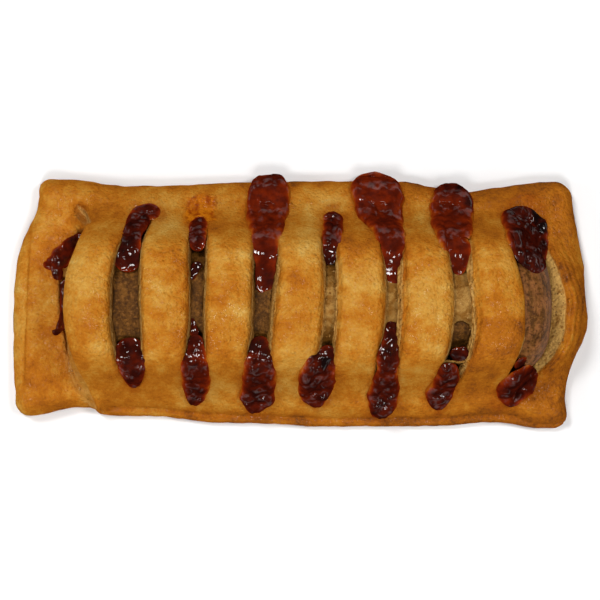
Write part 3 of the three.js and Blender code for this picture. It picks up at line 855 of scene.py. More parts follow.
# %% Relish stations
POOLS = {
    "relish_0_far": [(-62.6, 19.6, 1.0, 0.3), (-65.2, 16.6, 2.1, 0.7), (-67.9, 13.5, 2.9, 0.9),
                     (-70.3, 11.2, 2.2, 0.7), (-73.4, 10.6, 1.0, 0.3)],
    "relish_0_near": [(-66.9, 6.4, 1.4, -0.3), (-67.2, 0, 1.4, -0.3), (-67.4, -4.5, 1.4, -0.1),
                      (-68.9, -7.8, 1.3, 0.4), (-70.6, -8.7, 1.3, 0.6)],
    "relish_1_far": [(-39.6, 24.4, 1.8, 0.6), (-42.4, 25.3, 2.8, 1.2), (-44.9, 23.8, 3.5, 1.4),
                     (-45.9, 20.4, 3.0, 1.0), (-46.5, 16.4, 2.7, -0.2), (-46.9, 12.4, 3.1, -1.8),
                     (-47.4, 7.6, 3.8, -3.2)],
    "relish_1_near": [(-46.2, -10.2, 3.6, -3.4), (-46.3, -13.3, 3.8, -2.2), (-46, -16.7, 3.9, 0.2),
                      (-46.2, -20.3, 3.5, 1.4), (-47, -24.2, 1.2, 0.7)],
    "relish_2_far": [(-28.2, 24.2, 1.8, 0.4), (-28.4, 21.2, 2.9, 0.9), (-28.3, 17.6, 2.6, 0.4),
                     (-28, 13.4, 2.0, -1.4)],
    "relish_2_near": [(-28.1, -9.4, 1.8, -2.2), (-28.4, -13.3, 2.5, -0.6), (-28.7, -17.5, 3.6, 1.2),
                      (-29.1, -22.1, 4.1, 1.9), (-29.8, -26.1, 3.1, 1.5), (-30.5, -29.3, 0.9, 0.6)],
    "relish_3_far": [(-8.2, 37.4, 1.3, 0.8), (-8.4, 36, 4.0, 1.4), (-8.9, 30.5, 6.1, 2.0),
                     (-9.1, 26, 6.2, 1.9), (-9.2, 22.1, 5.5, 1.6), (-9.3, 17.8, 4.0, 0.9),
                     (-9.4, 13.3, 3.3, -0.8), (-9.6, 8.4, 2.7, -2.2), (-10, 1.8, 2.3, -3.6)],
    "relish_3_near": [(-10.4, -9.8, 2.6, -3.4), (-10.9, -13.8, 3.2, -1.2), (-11.1, -17.8, 4.0, 1.2),
                      (-11.6, -22.7, 5.2, 2.2), (-12.2, -26.7, 5.0, 2.2), (-12.5, -29.7, 3.1, 1.5),
                      (-12.3, -31.6, 1.0, 0.6)],
    "relish_4_far": [(9.1, 25.9, 1.8, 0.7), (9.1, 23.6, 3.0, 1.1), (9.0, 20.4, 3.4, 1.2),
                     (8.6, 17, 2.9, 0.6), (8.2, 13.6, 2.0, -0.9), (8, 9.6, 1.5, -2.2)],
    "relish_4_near": [(7.8, -12.3, 2.0, -2.4), (7.2, -15.5, 2.8, -0.8), (5.8, -18.4, 4.1, 1.2),
                      (4.8, -21.8, 5.0, 2.1), (4.5, -25.5, 4.4, 2.1), (5.1, -29.8, 1.1, 0.7)],
    "relish_5_far": [(21.9, 38.3, 1.6, 0.9), (21.8, 36.8, 4.8, 1.5), (21.7, 32, 7.3, 2.1),
                     (22.1, 28.4, 7.4, 2.1), (23.1, 24.4, 6.2, 1.9), (24.5, 20, 4.6, 1.5),
                     (25.1, 16, 3.7, 0.4), (25.4, 12, 3.2, -1.2), (25.7, 7.6, 2.6, -2.4),
                     (25.9, 2.6, 2.0, -3.4)],
    "relish_5_near": [(25.3, -5.4, 1.5, -3.2), (24.7, -10, 2.4, -1.9), (24.1, -14.4, 2.9, -0.2),
                      (23.7, -18.7, 3.4, 1.3), (23.6, -23.4, 4.1, 2.2), (23.3, -27.3, 4.4, 2.2),
                      (22.3, -30.5, 3.2, 1.5), (20.9, -32.7, 1.0, 0.5)],
    "relish_6_far": [(39.6, 33.6, 3.4, 0.9), (41.4, 31.4, 5.2, 1.6), (42.8, 28, 6.4, 1.9),
                     (42.8, 24, 6.1, 1.9), (42.3, 20.2, 5.4, 1.6), (42, 16.6, 4.3, 1.0),
                     (43.2, 13.6, 3.5, -0.6), (43.4, 10.4, 2.5, -1.6), (43.2, 6.8, 1.5, -2.4)],
    "relish_6_near": [(42.3, -17.4, 2.2, 0.4), (41.2, -19.6, 3.2, 1.4), (40.3, -22.6, 3.8, 2.0),
                      (39.5, -25.8, 3.9, 2.0), (39.2, -28.8, 2.8, 1.4), (39.3, -30.8, 1.2, 0.6)],
    "relish_7_far": [(65.4, 27.2, 3.4, 0.9), (64.6, 25, 5.9, 1.5), (63.9, 21.4, 7.2, 1.7),
                     (63.8, 17.8, 7.1, 1.4), (64.1, 14.4, 6.2, 0.8), (64.7, 10.8, 4.7, 0.2),
                     (65.1, 7.4, 2.8, -0.2)],
    "relish_7_near": [(67.4, -19.7, 2.0, 0.5), (64.9, -21, 3.5, 1.2), (61.7, -23.3, 4.6, 1.9),
                      (59, -25.7, 4.3, 1.8), (56.8, -28, 2.6, 1.1)],
}
BRANCHES = {  # smaller tongues that belong to a pool
    "relish_0_far": [(-69.2, 12.4, 2.0, 0.8), (-69.3, 9.2, 1.6, 0.6), (-69, 6.2, 0.9, 0.2)],
    "relish_1_far": [(-45.6, 24.2, 2.6, 1.2), (-46.6, 26.9, 1.6, 0.6)],
    "relish_2_far": [(-27.2, 10.4, 1.0, -2.8), (-29, 8.2, 1.4, -3.2), (-29.8, 5.4, 0.8, -3.6)],
    "relish_2_near": [(-29.8, -4.8, 0.8, -3.6), (-29.6, -7.2, 1.3, -3.2), (-28.4, -9.8, 1.4, -2.6)],
    "relish_6_near": [(41, -14.2, 1.6, -1.6), (43.3, -14.6, 1.9, -1.2), (46, -14.2, 1.6, -1.6)],
    "relish_7_near": [(59.4, -17, 1.8, -2.2), (62.4, -18, 2.3, -1.2), (65.4, -19, 2.2, -0.2)],
}


def distance_to_pools(x, y):
    """How far each point is outside the nearest pool's outline; negative inside it."""
    nearest = np.full(x.shape, FAR_AWAY)
    for stations in [*POOLS.values(), *BRANCHES.values()]:
        for (x0, y0, w0, _), (x1, y1, w1, _) in zip(stations, stations[1:]):
            length2 = (x1 - x0) ** 2 + (y1 - y0) ** 2
            t = np.clip(((x - x0) * (x1 - x0) + (y - y0) * (y1 - y0)) / length2, 0, 1)
            away = np.hypot(x - lerp(x0, x1, t), y - lerp(y0, y1, t)) - lerp(w0, w1, t)
            nearest = np.minimum(nearest, away)
    return nearest


print("pools of relish:", len(POOLS), "with", len(BRANCHES), "side tongues")

# %% [markdown]
# ## What the crust's material needs to know
# A baked crust isn't one colour. The strips are golden with orange patches, the border is browner,
# the cut faces stay pale because they were inside the dough, and the dough beside a pool is
# stained. These are facts about places on the roll, so they are worked out here for each point of
# the mesh and stored as values; the material only mixes colours by them and adds fine grain.

# %% Cut faces, torn skin and baked colour
# painted shade: the material darkens cut dough the deeper it lies, and this cap keeps it off some walls
PALE_WALL_DEPTH = 1.0  # the walls at both ends of the meat are pale all the way down, so they count
# as no deeper than this, and the one beside the flap as a little less


def depth_in_slits(x, y, z):
    """How far each point lies below the lips of the slit that it is in; 0 outside all slits."""
    depth = np.zeros(x.shape)
    for n, (left, right) in enumerate(EDGES):
        from_left = np.clip((x - left(y)) / (right(y) - left(y)), 0, 1)
        lips = lerp(lid_height(left(y), y), lid_height(right(y), y), from_left)
        if n == FIRST:
            lips = np.minimum(lid_height(right(y) + 0.1, y), z + 0.7 * PALE_WALL_DEPTH)
        if n == LAST:
            lips = np.where(from_left > 0.45, np.minimum(lips, z + PALE_WALL_DEPTH), lips)
        within = (x > left(y) - 0.6) & (x < right(y) + 0.6) & (slit_depth(n, y) > 0.2)
        depth = np.where(within, np.maximum(depth, lips - z), depth)
    return depth


def torn_open(x, y):
    """1 where the skin beside the lid's far left corner is torn, so that the layers show."""
    along, across = torn_pocket(x, y)
    ragged = 0.4 * soft_noise(x, y, 0, 1.8, seed=77)
    narrow = 1.1 - 0.6 * np.abs(along)
    reach = np.maximum(np.abs(along), np.abs(across + 0.4) / (1.1 * narrow)) + ragged
    return 1 - smoothstep(reach, 0.7, 1.0)


def facing_up(piece):
    """How far the surface faces up at each point: 1 is level, 0 is a vertical wall."""
    normals = np.empty(len(piece.data.vertices) * 3, np.float32)
    piece.data.vertices.foreach_get("normal", normals)
    return np.clip(normals.reshape(-1, 3)[:, 2], 0, 1)


def baked_colour(x, y, z):
    """0 for pale gold, a half for orange brown, 1 for nearly burnt."""
    on_hump = hump_at(x, y)
    patches = layered_noise(x, y, 0, 10, seed=71)
    bands = layered_noise(x * 0.4, y, 0, 5, seed=73)
    mottle = layered_noise(x, y, z * 0.3, 2.4, seed=72)
    bake = 0.42 + lerp(0.38, 0.26, on_hump) * patches + 0.22 * bands * on_hump + 0.16 * mottle
    # The hump is browner on its near side, and the border is browner than the hump, most at the right.
    bake += on_hump * 0.08 * smoothstep(-y, -12, 10)
    bake += (1 - on_hump) * (0.09 + 0.24 * smoothstep(x, 30, 66))
    # Three places are paler: the middle of the right end, beyond the right lip, and the left rim.
    bake -= 0.18 * smoothstep(x, 66, 72) * plateau(y, 16, 4)
    bake -= 0.12 * swell(x, EDGES[LAST][1](y) + 2.4, 2.4) * plateau(y + 1, 16, 6)
    bake -= 0.12 * rim_reach(y) * (1 - smoothstep(x - rim_line(y), -0.5, 0.1))
    # Thin edges bake brown.
    bake += 0.24 * (1 - smoothstep(near_reach(x) + y, 1.0, 4.5)) * smoothstep(x, -50, -36)
    bake += 0.12 * (1 - smoothstep(far_reach(x) - y, 0.3, 3))
    return np.clip(bake + 0.08 * (1 - smoothstep(right_reach(y) - x, 0.5, 4)), 0.05, 0.82)


# %% [markdown]
# The values are worked out once for all points of the cut crust, and stored under the names that
# the material asks for: how brown and how deep a point is, what stains it, and where the scattered
# blisters and crumbs may lie.

# %% Store the crust's values
SMEAR = {"x": -28.2, "y": 26.4, "half_width": 4.3, "half_length": 4.2}  # thin amber syrup
STAIN_REACH = 0.8  # mm from a pool over which its stain fades

crust = points_of(pastry)
cx, cy, cz = crust.T
torn = torn_open(cx, cy) * smoothstep(cz, 2, 4)
# painted shade: the groove between the torn layers counts as deeper, so the material darkens it
torn_gap_shade = swell(torn_pocket(cx, cy)[1], 0.5, 0.4)  # the dark line between the torn layers
depth = np.maximum(depth_in_slits(cx, cy, cz), torn * (0.64 + 2.6 * torn_gap_shade))
cut_face = smoothstep(depth, 0.4, 1.0)
from_pools = distance_to_pools(cx, cy)
stain = np.exp(-np.clip(from_pools, 0, 9) / STAIN_REACH) * (1 - cut_face)
ragged = 0.9 * soft_noise(cx, cy, 0, 1.8, seed=75)
syrup = plateau(cx + ragged - SMEAR["x"], SMEAR["half_width"], 20)
syrup *= plateau(cy + ragged - SMEAR["y"], SMEAR["half_length"], 20) * (1 - cut_face)
level = facing_up(pastry)
bare = smoothstep(from_pools, 0.3, 0.8) * smoothstep(level, 0.5, 0.8)
blistered = smoothstep(soft_noise(cx, cy, 0, 6, seed=76), -0.3, 0.3)
blistered *= smoothstep(edge_clearance(cx, cy), 0.8, 1.6)
add_value(pastry, "bake", baked_colour(cx, cy, cz))
add_value(pastry, "cut_face", cut_face)
add_value(pastry, "depth", depth)
add_value(pastry, "stain", stain)
add_value(pastry, "syrup", syrup)
# painted shade: the material darkens the folds between the layers by this value
add_value(pastry, "crease", creases_at(cx, cy) * (1 - cut_face))
add_value(pastry, "facing", level)
add_value(pastry, "blistered", bare * blistered * (1 - cut_face))
add_value(pastry, "crumbly", bare * cut_face)
print("cut faces cover", round(100 * float((cut_face > 0.5).mean())), "% of the crust's points")

# %% [markdown]
# ## Relish
# A tongue of relish is a grid again: one way along its spine, one way across it. The top is domed,
# with a rounded rim and lumps, and the underside is sunk into the crust, so that no gap shows from
# the side. On the steep sides of the roll it has to stand off square to the slope and not straight
# up, so each point is moved along the slope's own direction.

# %% What a pool rests on
SLOPE_REACH = 1.2  # the slope is measured between points this far to both sides


def rest_height(x, y):
    """Height of what a pool lies on: the flap, the lid, or the end of the meat in the last slit."""
    lid = lid_height(x, y)
    lid = np.where(x < -56, np.minimum(lid, flange_at(x, y) + 0.6), lid)
    return np.where(x > 55, np.maximum(lid, log_top_at(x, y) + 1.2), lid)


def slope_direction(x, y):
    """Unit vectors square to the lid, with the steepest slopes eased."""
    run_x = lid_height(x + SLOPE_REACH, y) - lid_height(x - SLOPE_REACH, y)
    run_y = lid_height(x, y + SLOPE_REACH) - lid_height(x, y - SLOPE_REACH)
    tilt_x = np.clip(-run_x / (2 * SLOPE_REACH), -0.4, 0.4)
    tilt_y = np.clip(-run_y / (2 * SLOPE_REACH), -1.5, 1.5)
    up = np.stack([tilt_x, tilt_y, np.ones_like(tilt_x)], axis=-1)
    return up / np.linalg.norm(up, axis=-1)[..., None]


on_the_side = slope_direction(np.zeros(1), np.array([-22.0]))
print("relish on the near side stands off along", np.round(on_the_side, 2))

# %% [markdown]
# Pools have one of two kinds of relief. Most are chunky with bits of fruit. Where the relish set
# with a skin it is smooth, with a few thin folds that run downhill. A few spots are burnt black, and
# one dark spot is painted shade in a hole.

# %% Relief and burnt spots
# Dark spots as (x, y, half width): the last one, on the near pool of slit 4, is painted shade in a hole; the
# others are burnt relish. Both count as thicker relish, and so darker.
BURNT_AND_SHADE_SPOTS = [(38, 33, 2.0), (42, 32.6, 2.0), (46.4, 31, 2.2), (48.4, 28, 1.6), (68, 25.6, 2.8),
         (70, 21, 2.4), (70, 16, 1.8), (7.1, -16.3, 1.0)]  # (x, y, half width) of black spots
DARK_SPOT_THICKNESS = 3.0  # relish counts as this much thicker, and so darker, where it is burnt


def chunky(x, y, z, seed):
    """Relief of relish with bits of fruit in it."""
    bits = 1.25 * np.abs(soft_noise(x, y, z, 3.2, seed)) + 0.6 * np.abs(soft_noise(x, y, z, 1.7, seed + 1))
    return bits + 0.12 * soft_noise(x, y, z, 0.9, seed + 2) - 0.5


def wrinkled(x, y, z, seed):
    """Relief of relish that set with a skin: smooth, with a few thin folds."""
    y, z = y * 0.5, z * 0.3  # it ran downhill, so its folds do too
    folds, fine = soft_noise(x, y, z, 4.5, seed), soft_noise(x, y, z, 2.2, seed + 2)
    ridges = 0.26 * np.exp(-((folds / 0.15) ** 2)) + 0.14 * np.exp(-((fine / 0.2) ** 2))
    return 0.7 * soft_noise(x, y, z, 4, seed + 1) + 0.2 * soft_noise(x, y, z, 2, seed + 3) + ridges


def burnt_and_shade_at(x, y):
    """How much thicker the relish counts where it is burnt, and at the hole whose shade is painted."""
    spots = [swell(np.hypot(x - at_x, y - at_y), 0, half) for at_x, at_y, half in BURNT_AND_SHADE_SPOTS]
    return DARK_SPOT_THICKNESS * np.maximum.reduce(spots) * (0.7 + 0.6 * soft_noise(x, y, 0, 1.5, seed=95))


print("burnt spots:", len(BURNT_AND_SHADE_SPOTS))

# %% [markdown]
# A tongue starts from its spine, a smooth curve through the stations. Rows of points run across it,
# out to an outline that wobbles a little and closes round at both ends.

# %% Plan of a tongue
POOL_STEP = 0.3
POOL_COLUMNS = (12, 52)  # the fewest and the most points across a tongue


def along(stations):
    """(distance along, x, y, half width, lift) of the spine, every POOL_STEP."""
    stations = np.array(stations, float)
    steps = np.hypot(*np.diff(stations[:, :2], axis=0).T)
    at = np.concatenate([[0], np.cumsum(steps)])
    t = np.linspace(0, at[-1], max(int(at[-1] / POOL_STEP), 8))
    x, y, half, lift = (curve_through(at, stations[:, k])(t) for k in range(4))
    return t, x, y, half, lift


def rounded_ends(t, half):
    """Closes a tongue at both ends as half a disc as wide as the tongue is there."""
    from_ends = np.minimum((t + 0.02) / half[0], (t[-1] - t + 0.02) / half[-1])
    return quarter_round(from_ends)


def outline_wobble(t, side, seed):
    """How far the outline strays at distance t along the tongue; `side` tells its two sides apart."""
    return 0.6 * soft_noise(t, side, 0, 3.8, seed) + 0.34 * soft_noise(t, side, 0, 1.7, seed + 1)


def tongue_plan(t, x, y, half, seed):
    """Places across the tongue, from -1 to 1, and the x and y of its grid of points."""
    heading = np.stack([np.gradient(x), np.gradient(y)], axis=-1)
    heading /= np.linalg.norm(heading, axis=1)[:, None]
    across = int(np.clip(2.4 * half.max() / POOL_STEP, *POOL_COLUMNS))
    u = np.sin(np.linspace(-1, 1, across) * math.pi / 2)[None, :]
    wobble = outline_wobble(t[:, None], np.sign(u) * 40, seed + 7)
    offset = u * (half[:, None] + wobble * np.clip(half[:, None] / 3, 0, 1))
    return u, x[:, None] + offset * heading[:, 1:2], y[:, None] - offset * heading[:, 0:1]


spine_points = [len(along(stations)[0]) for stations in POOLS.values()]
print("points along a spine: from", min(spine_points), "to", max(spine_points))

# %% [markdown]
# Then the plan gets its height. On the lid the relish stands up as a dome with a rounded rim; down
# in a slit it lies below the lips. The underside is sunk into the crust, except where a pool has run
# over the edge of the roll: there it hangs down nearly to the table. Each point also gets a value
# for how thick the relish looks.

# %% Height and thickness of a tongue
POOL_RIM = 1.9  # width over which a pool rounds down to its outline
RIM_SUNK, SLIT_RIM_SUNK = 0.25, 0.3  # how far its outline is sunk, on the lid and down in a slit
AMBER_RIM = 0.9  # width over which thin relish lets light through
CRUST_BITE, POOL_DEPTH = 1.2, 2.4  # the underside is at least this far in the crust, and below the top
LOWEST = 0.8  # an underside in the crust is never lower than this
OVERHANG = 0.4  # points with less clearance than this count as over the edge of the roll
HEM_HEIGHT, THINNEST = 1.2, 0.8  # over the edge: highest place of the underside, least thickness
UNDERCUT = 0.12  # how much narrower the underside is


def tongue_lift(px, py, base, lift, rim, relief, seed):
    """How far each point stands above what the pool rests on, or lies below it."""
    lifted = np.where(lift > 0, lerp(-RIM_SUNK, lift, rim), lift - SLIT_RIM_SUNK * (1 - rim))
    calm = lerp(0.5, 1, smoothstep(lift, -2.5, 0.5))  # it lies smoother down in the slit
    return lifted + relief(px, py, base, seed) * rim * calm


def tongue_floor(px, py, base, top_z):
    """Height of the underside: in the crust, or near the table over the edge of the roll."""
    beyond = edge_clearance(px, py) < OVERHANG
    sunk = np.minimum(base - CRUST_BITE, top_z - POOL_DEPTH)
    return np.where(beyond, np.minimum(HEM_HEIGHT, top_z - THINNEST), np.maximum(sunk, LOWEST))


def looks_thick(px, py, inside, lifted, lift, seed):
    """Thin at the rim, in places; thicker inside, on lumps, down in a slit, where burnt, and at a painted
    shade.
    """
    thin_edge = np.clip(1.6 + 2.6 * soft_noise(px, py, 0, 3.5, seed + 9), 0.4, 2.6)
    thick = lerp(thin_edge, 2.8, 1 - np.exp(-inside / AMBER_RIM)) + 0.9 * (lifted - lift)
    return thick + 0.7 * (1 - smoothstep(lift, -2, 1)) + burnt_and_shade_at(px, py)


# %% [markdown]
# The top and the underside are two grids with the same numbering, so the faces that join them run
# round the border from one to the other. A pool with a side tongue is two such shells in one mesh.

# %% Shell of a tongue
def shell_faces(rows, columns):
    """Faces of a closed shell: one grid of points over another, joined round the border."""
    count = rows * columns
    faces = list(grid_faces(rows, columns))
    faces += [tuple(face[::-1] + count) for face in grid_faces(rows, columns)]
    loop = border_loop(rows, columns)
    following = np.roll(loop, -1)
    faces += list(np.stack([loop, loop + count, following + count, following], axis=-1))
    return faces


def pool_shell(stations, relief, seed):
    """(points, faces, thickness) of one closed tongue."""
    t, x, y, half, lift = along(stations)
    half, lift = half * rounded_ends(t, half), lift[:, None]
    u, px, py = tongue_plan(t, x, y, half, seed)
    base = rest_height(px, py)
    inside = (1 - np.abs(u)) * np.maximum(half[:, None], 0.3)
    inside = np.minimum(inside, np.minimum(t, t[-1] - t)[:, None])
    rim = quarter_round(inside / POOL_RIM)
    lifted = tongue_lift(px, py, base, lift, rim, relief, seed)
    stand = np.clip(lifted, 0, None)[..., None] * slope_direction(px, py)
    top = np.stack([px, py, base + np.minimum(lifted, 0)], axis=-1) + stand
    bottom = np.stack([px, py, tongue_floor(px, py, base, top[..., 2])], axis=-1)
    shrink = 1 - UNDERCUT * (np.abs(u) > 0.99)  # only the outermost columns are drawn in
    bottom[..., 0] = lerp(x[:, None], px, shrink)
    bottom[..., 1] = lerp(y[:, None], py, shrink)
    thick = looks_thick(px, py, inside, lifted, lift, seed)
    points = np.vstack([top.reshape(-1, 3), bottom.reshape(-1, 3)])
    return points, shell_faces(*px.shape), np.concatenate([thick.ravel(), thick.ravel()])


def pool_piece(name, tongues, relief, clearness, seed):
    """One pool from one or two tongues. Clear relish counts as thinner than it is."""
    points, faces, thick = [], [], []
    for number, stations in enumerate(tongues):
        more_points, more_faces, more_thick = pool_shell(stations, relief, seed + 5 * number)
        first = sum(len(p) for p in points)
        faces += [tuple(int(corner) + first for corner in face) for face in more_faces]
        points.append(more_points)
        thick.append(more_thick * clearness)
    piece = make_piece(name, np.vstack(points), faces)
    add_value(piece, "thickness", np.concatenate(thick))
    add_value(piece, "facing", facing_up(piece))
    return piece


# %% [markdown]
# There is one piece for each pool, named after the node that it stands for. Three large pools on the
# far side set with a skin. They are clearer than the others, so they count as thinner.

# %% Make the pools
SKIN_SET = ("relish_3_far", "relish_5_far", "relish_6_far")
SKIN_SET_CLEARNESS = 0.72

pools = []
for number, (node, stations) in enumerate(POOLS.items()):
    tongues = [stations] + ([BRANCHES[node]] if node in BRANCHES else [])
    relief, clearness = (wrinkled, SKIN_SET_CLEARNESS) if node in SKIN_SET else (chunky, 1.0)
    pools.append(pool_piece(node + "_pool", tongues, relief, clearness, seed=200 + 20 * number))
print("relish pools:", len(pools), "with", sum(len(p.data.polygons) for p in pools), "faces")

# %% [markdown]
# ## The meat
# The meat is the log that the cavity was cut for, with a rough skin. Its right end lies open to the
# oven, so how near a point is to that end is stored for the material.

# %% Make the meat
MEAT_ROUGHNESS = 0.35

meat = log_piece("meat_log", log_points(grow=0, rings=300, sides=132, rough=MEAT_ROUGHNESS))
add_value(meat, "baked_end", smoothstep(points_of(meat)[:, 0], 52, 60))
print("meat log:", len(meat.data.polygons), "faces")

# %% [markdown]
# ## Building materials
# A material is a small graph of nodes. `Graph.add` adds one node, sets its sockets and returns its
# output, and shorter names stand for the nodes that are used most, so that a material reads as a
# list of steps. Colours are written as they look on a screen, from 0 to 255, and turned into the
# linear values that a renderer works with.

# %% Material helpers
def screen_colour(red, green, blue):
    """The linear red, green, blue and alpha of a colour as it looks on a screen."""
    share = [c / 255 for c in (red, green, blue)]
    return [s / 12.92 if s <= 0.04045 else ((s + 0.055) / 1.055) ** 2.4 for s in share] + [1.0]


class Graph:
    """The node tree of one material, with its Principled shader at hand."""

    def __init__(self, name):
        self.material = bpy.data.materials.new(name)
        self.material.use_nodes = True
        self.tree = self.material.node_tree
        self.shader = self.tree.nodes["Principled BSDF"]

    def connect(self, value, socket):
        """Links an output to the socket, or sets the socket to a plain value."""
        if isinstance(value, bpy.types.NodeSocket):
            self.tree.links.new(value, socket)
        else:
            socket.default_value = value

    def add(self, kind, output=0, inputs=(), **settings):
        made = self.tree.nodes.new(kind)
        for key, value in settings.items():
            setattr(made, key, value)
        for key, value in dict(inputs).items():
            self.connect(value, made.inputs[key])
        return made.outputs[output]

    def value(self, name):
        """A value that is stored on the mesh."""
        return self.add("ShaderNodeAttribute", output="Fac", attribute_name=name)

    def place(self):
        return self.add("ShaderNodeTexCoord", output="Object")

    def noise(self, size_mm, detail=3, roughness=0.55, stretch=None):
        """Noise of a size in mm; a stretch below 1 makes it longer along that axis."""
        place = self.place()
        if stretch:
            place = self.add("ShaderNodeMapping", inputs={"Vector": place, "Scale": stretch})
        return self.add("ShaderNodeTexNoise", inputs={"Vector": place, "Scale": 1 / (size_mm * MM),
                        "Detail": detail, "Roughness": roughness})

    def cells(self, size_mm):
        """Distance from the middle of the cell that each point is in."""
        return self.add("ShaderNodeTexVoronoi",
                        inputs={"Vector": self.place(), "Scale": 1 / (size_mm * MM)})

    def math(self, operation, *values, clamp=False):
        return self.add("ShaderNodeMath", operation=operation, use_clamp=clamp,
                        inputs=dict(enumerate(values)))

    def span(self, value, low, high, to_low=0.0, to_high=1.0):
        """Moves the span from low to high onto the span from to_low to to_high."""
        return self.add("ShaderNodeMapRange", inputs={"Value": value, "From Min": low,
                        "From Max": high, "To Min": to_low, "To Max": to_high})

    def mix(self, share, first, second):
        """The first colour, with this share of the second in it."""
        made = self.tree.nodes.new("ShaderNodeMix")
        made.data_type = "RGBA"
        self.connect(share, made.inputs[0])
        self.connect(first, made.inputs[6])
        self.connect(second, made.inputs[7])
        return made.outputs[2]

    def ramp(self, value, stops):
        """A colour ramp through stops of (place, screen colour)."""
        made = self.tree.nodes.new("ShaderNodeValToRGB")
        elements = made.color_ramp.elements
        while len(elements) < len(stops):
            elements.new(0.5)
        for element, (at, colour) in zip(elements, stops):
            element.position, element.color = at, screen_colour(*colour)
        self.connect(value, made.inputs[0])
        return made.outputs[0]

    def bump(self, height, strength, distance_mm, below=None):
        inputs = {"Height": height, "Strength": strength, "Distance": distance_mm * MM}
        if below is not None:
            inputs["Normal"] = below
        return self.add("ShaderNodeBump", inputs=inputs)

    def finish(self, **sockets):
        """Sets the shader's sockets and returns the material; _ stands for a space in a name."""
        for key, value in sockets.items():
            self.connect(value, self.shader.inputs[key.replace("_", " ")])
        return self.material


# %% [markdown]
# ## Finish of the crust
# Egg-washed puff pastry is golden with orange-brown patches and freckles, has a thin shine that
# comes and goes, and is covered with tiny blisters. The colour ramp follows the stored bake value
# with grain on top, and painted shade in the folds between layers. The cut faces show the pale
# inside of the dough in thin layers, which a sine of the stored depth draws, and deeper in a slit
# they are painted darker, as shade.

# %% Crust material
def crust_material():
    g = Graph("baked_crust")
    flat = (1.0, 1.0, 0.45)  # eases the pattern on the steep sides
    grain = g.math("SUBTRACT", g.noise(3.2, detail=5, roughness=0.62, stretch=flat), 0.5)
    freckle = g.math("SUBTRACT", g.noise(0.8, detail=5, roughness=0.7, stretch=flat), 0.5)
    bake = g.math("ADD", g.value("bake"), g.math("MULTIPLY", grain, 0.6))
    bake = g.math("ADD", bake, g.math("MULTIPLY", freckle, 0.42))
    # painted shade in the folds between the layers
    bake = g.math("ADD", bake, g.math("MULTIPLY", g.value("crease"), 0.13), clamp=True)
    golden = g.ramp(bake, [
        (0.0, (208, 168, 92)), (0.2, (200, 148, 64)), (0.42, (188, 124, 40)),
        (0.58, (178, 106, 26)), (0.76, (160, 90, 22)), (0.9, (132, 74, 24)), (1.0, (98, 52, 20)),
    ])
    depth = g.value("depth")
    wavy_depth = g.math("ADD", depth, g.math("MULTIPLY", grain, 1.6))
    layer_wave = g.math("SINE", g.math("MULTIPLY", wavy_depth, 8.5))
    dough = g.mix(g.span(layer_wave, -1, 1), screen_colour(158, 108, 46), screen_colour(206, 160, 88))
    # painted shade: the cut dough is painted darker the deeper it lies in a slit
    dough = g.mix(g.span(depth, 1.3, 4.0), dough, screen_colour(98, 62, 20))
    dough = g.mix(g.span(freckle, -0.05, 0.2, 0, 0.45), dough, screen_colour(108, 66, 26))
    dough = g.mix(g.span(freckle, -0.1, -0.25, 0, 0.5), dough, screen_colour(186, 148, 90))
    colour = g.mix(g.value("cut_face"), golden, dough)
    stain = g.math("MULTIPLY", g.value("stain"), g.span(grain, -0.2, 0.15, 0.4, 1), clamp=True)
    colour = g.mix(g.math("MULTIPLY", stain, 0.55), colour, screen_colour(150, 70, 12))
    streaks = g.noise(1.6, detail=3, stretch=(1.0, 0.25, 1.0))
    amber = g.mix(g.span(streaks, 0.4, 0.62), screen_colour(198, 112, 16), screen_colour(150, 64, 6))
    colour = g.mix(g.math("MULTIPLY", g.value("syrup"), 0.95), colour, amber)
    pimples = g.span(g.cells(1.0), 0, 0.75, 1, 0)
    normal = g.bump(g.noise(2.4, detail=4), 0.7, 0.9)
    normal = g.bump(pimples, 0.6, 0.35, below=normal)
    crisp = g.bump(g.noise(0.7, detail=3), 0.8, 0.35, below=normal)
    normal = g.bump(g.noise(0.6, detail=3), 0.8, 0.28, below=normal)
    patches = g.span(g.noise(5.5, detail=3), 0.42, 0.6, 0.1, 0.5)
    spots = g.span(g.noise(1.1, detail=2), 0.5, 0.64, 0.1, 1.0)
    glaze = g.math("MULTIPLY", patches, spots)
    glaze = g.math("MAXIMUM", glaze, g.math("MULTIPLY", g.value("syrup"), 0.3))
    glaze = g.math("MULTIPLY", glaze, g.span(g.value("facing"), 0.72, 0.92))
    glaze = g.math("MULTIPLY", glaze, g.span(g.value("cut_face"), 0, 1, 1, 0))
    roughness = g.math("MULTIPLY_ADD", g.value("cut_face"), 0.25, g.span(grain, -0.2, 0.2, 0.5, 0.65))
    return g.finish(Base_Color=colour, Roughness=roughness, Normal=normal, Specular_IOR_Level=0.0,
                    Coat_Weight=glaze, Coat_Roughness=0.12, Coat_Normal=crisp)


pastry.data.materials.clear()
pastry.data.materials.append(crust_material())
print("the crust's finish has", len(pastry.data.materials[0].node_tree.nodes), "nodes")

# %% [markdown]
# ## Finish of the relish
# Relish is a dark clear jelly. Where it is thin, light comes back through it from the crust and it
# looks amber; where it is thick it is a deep red-brown, nearly black. The stored thickness gives the
# colour directly, which is simpler than real depth. The skin is wet in patches, with sharp small
# glints that a bump breaks up. Steep sides stay dull, because they would mirror the white floor.

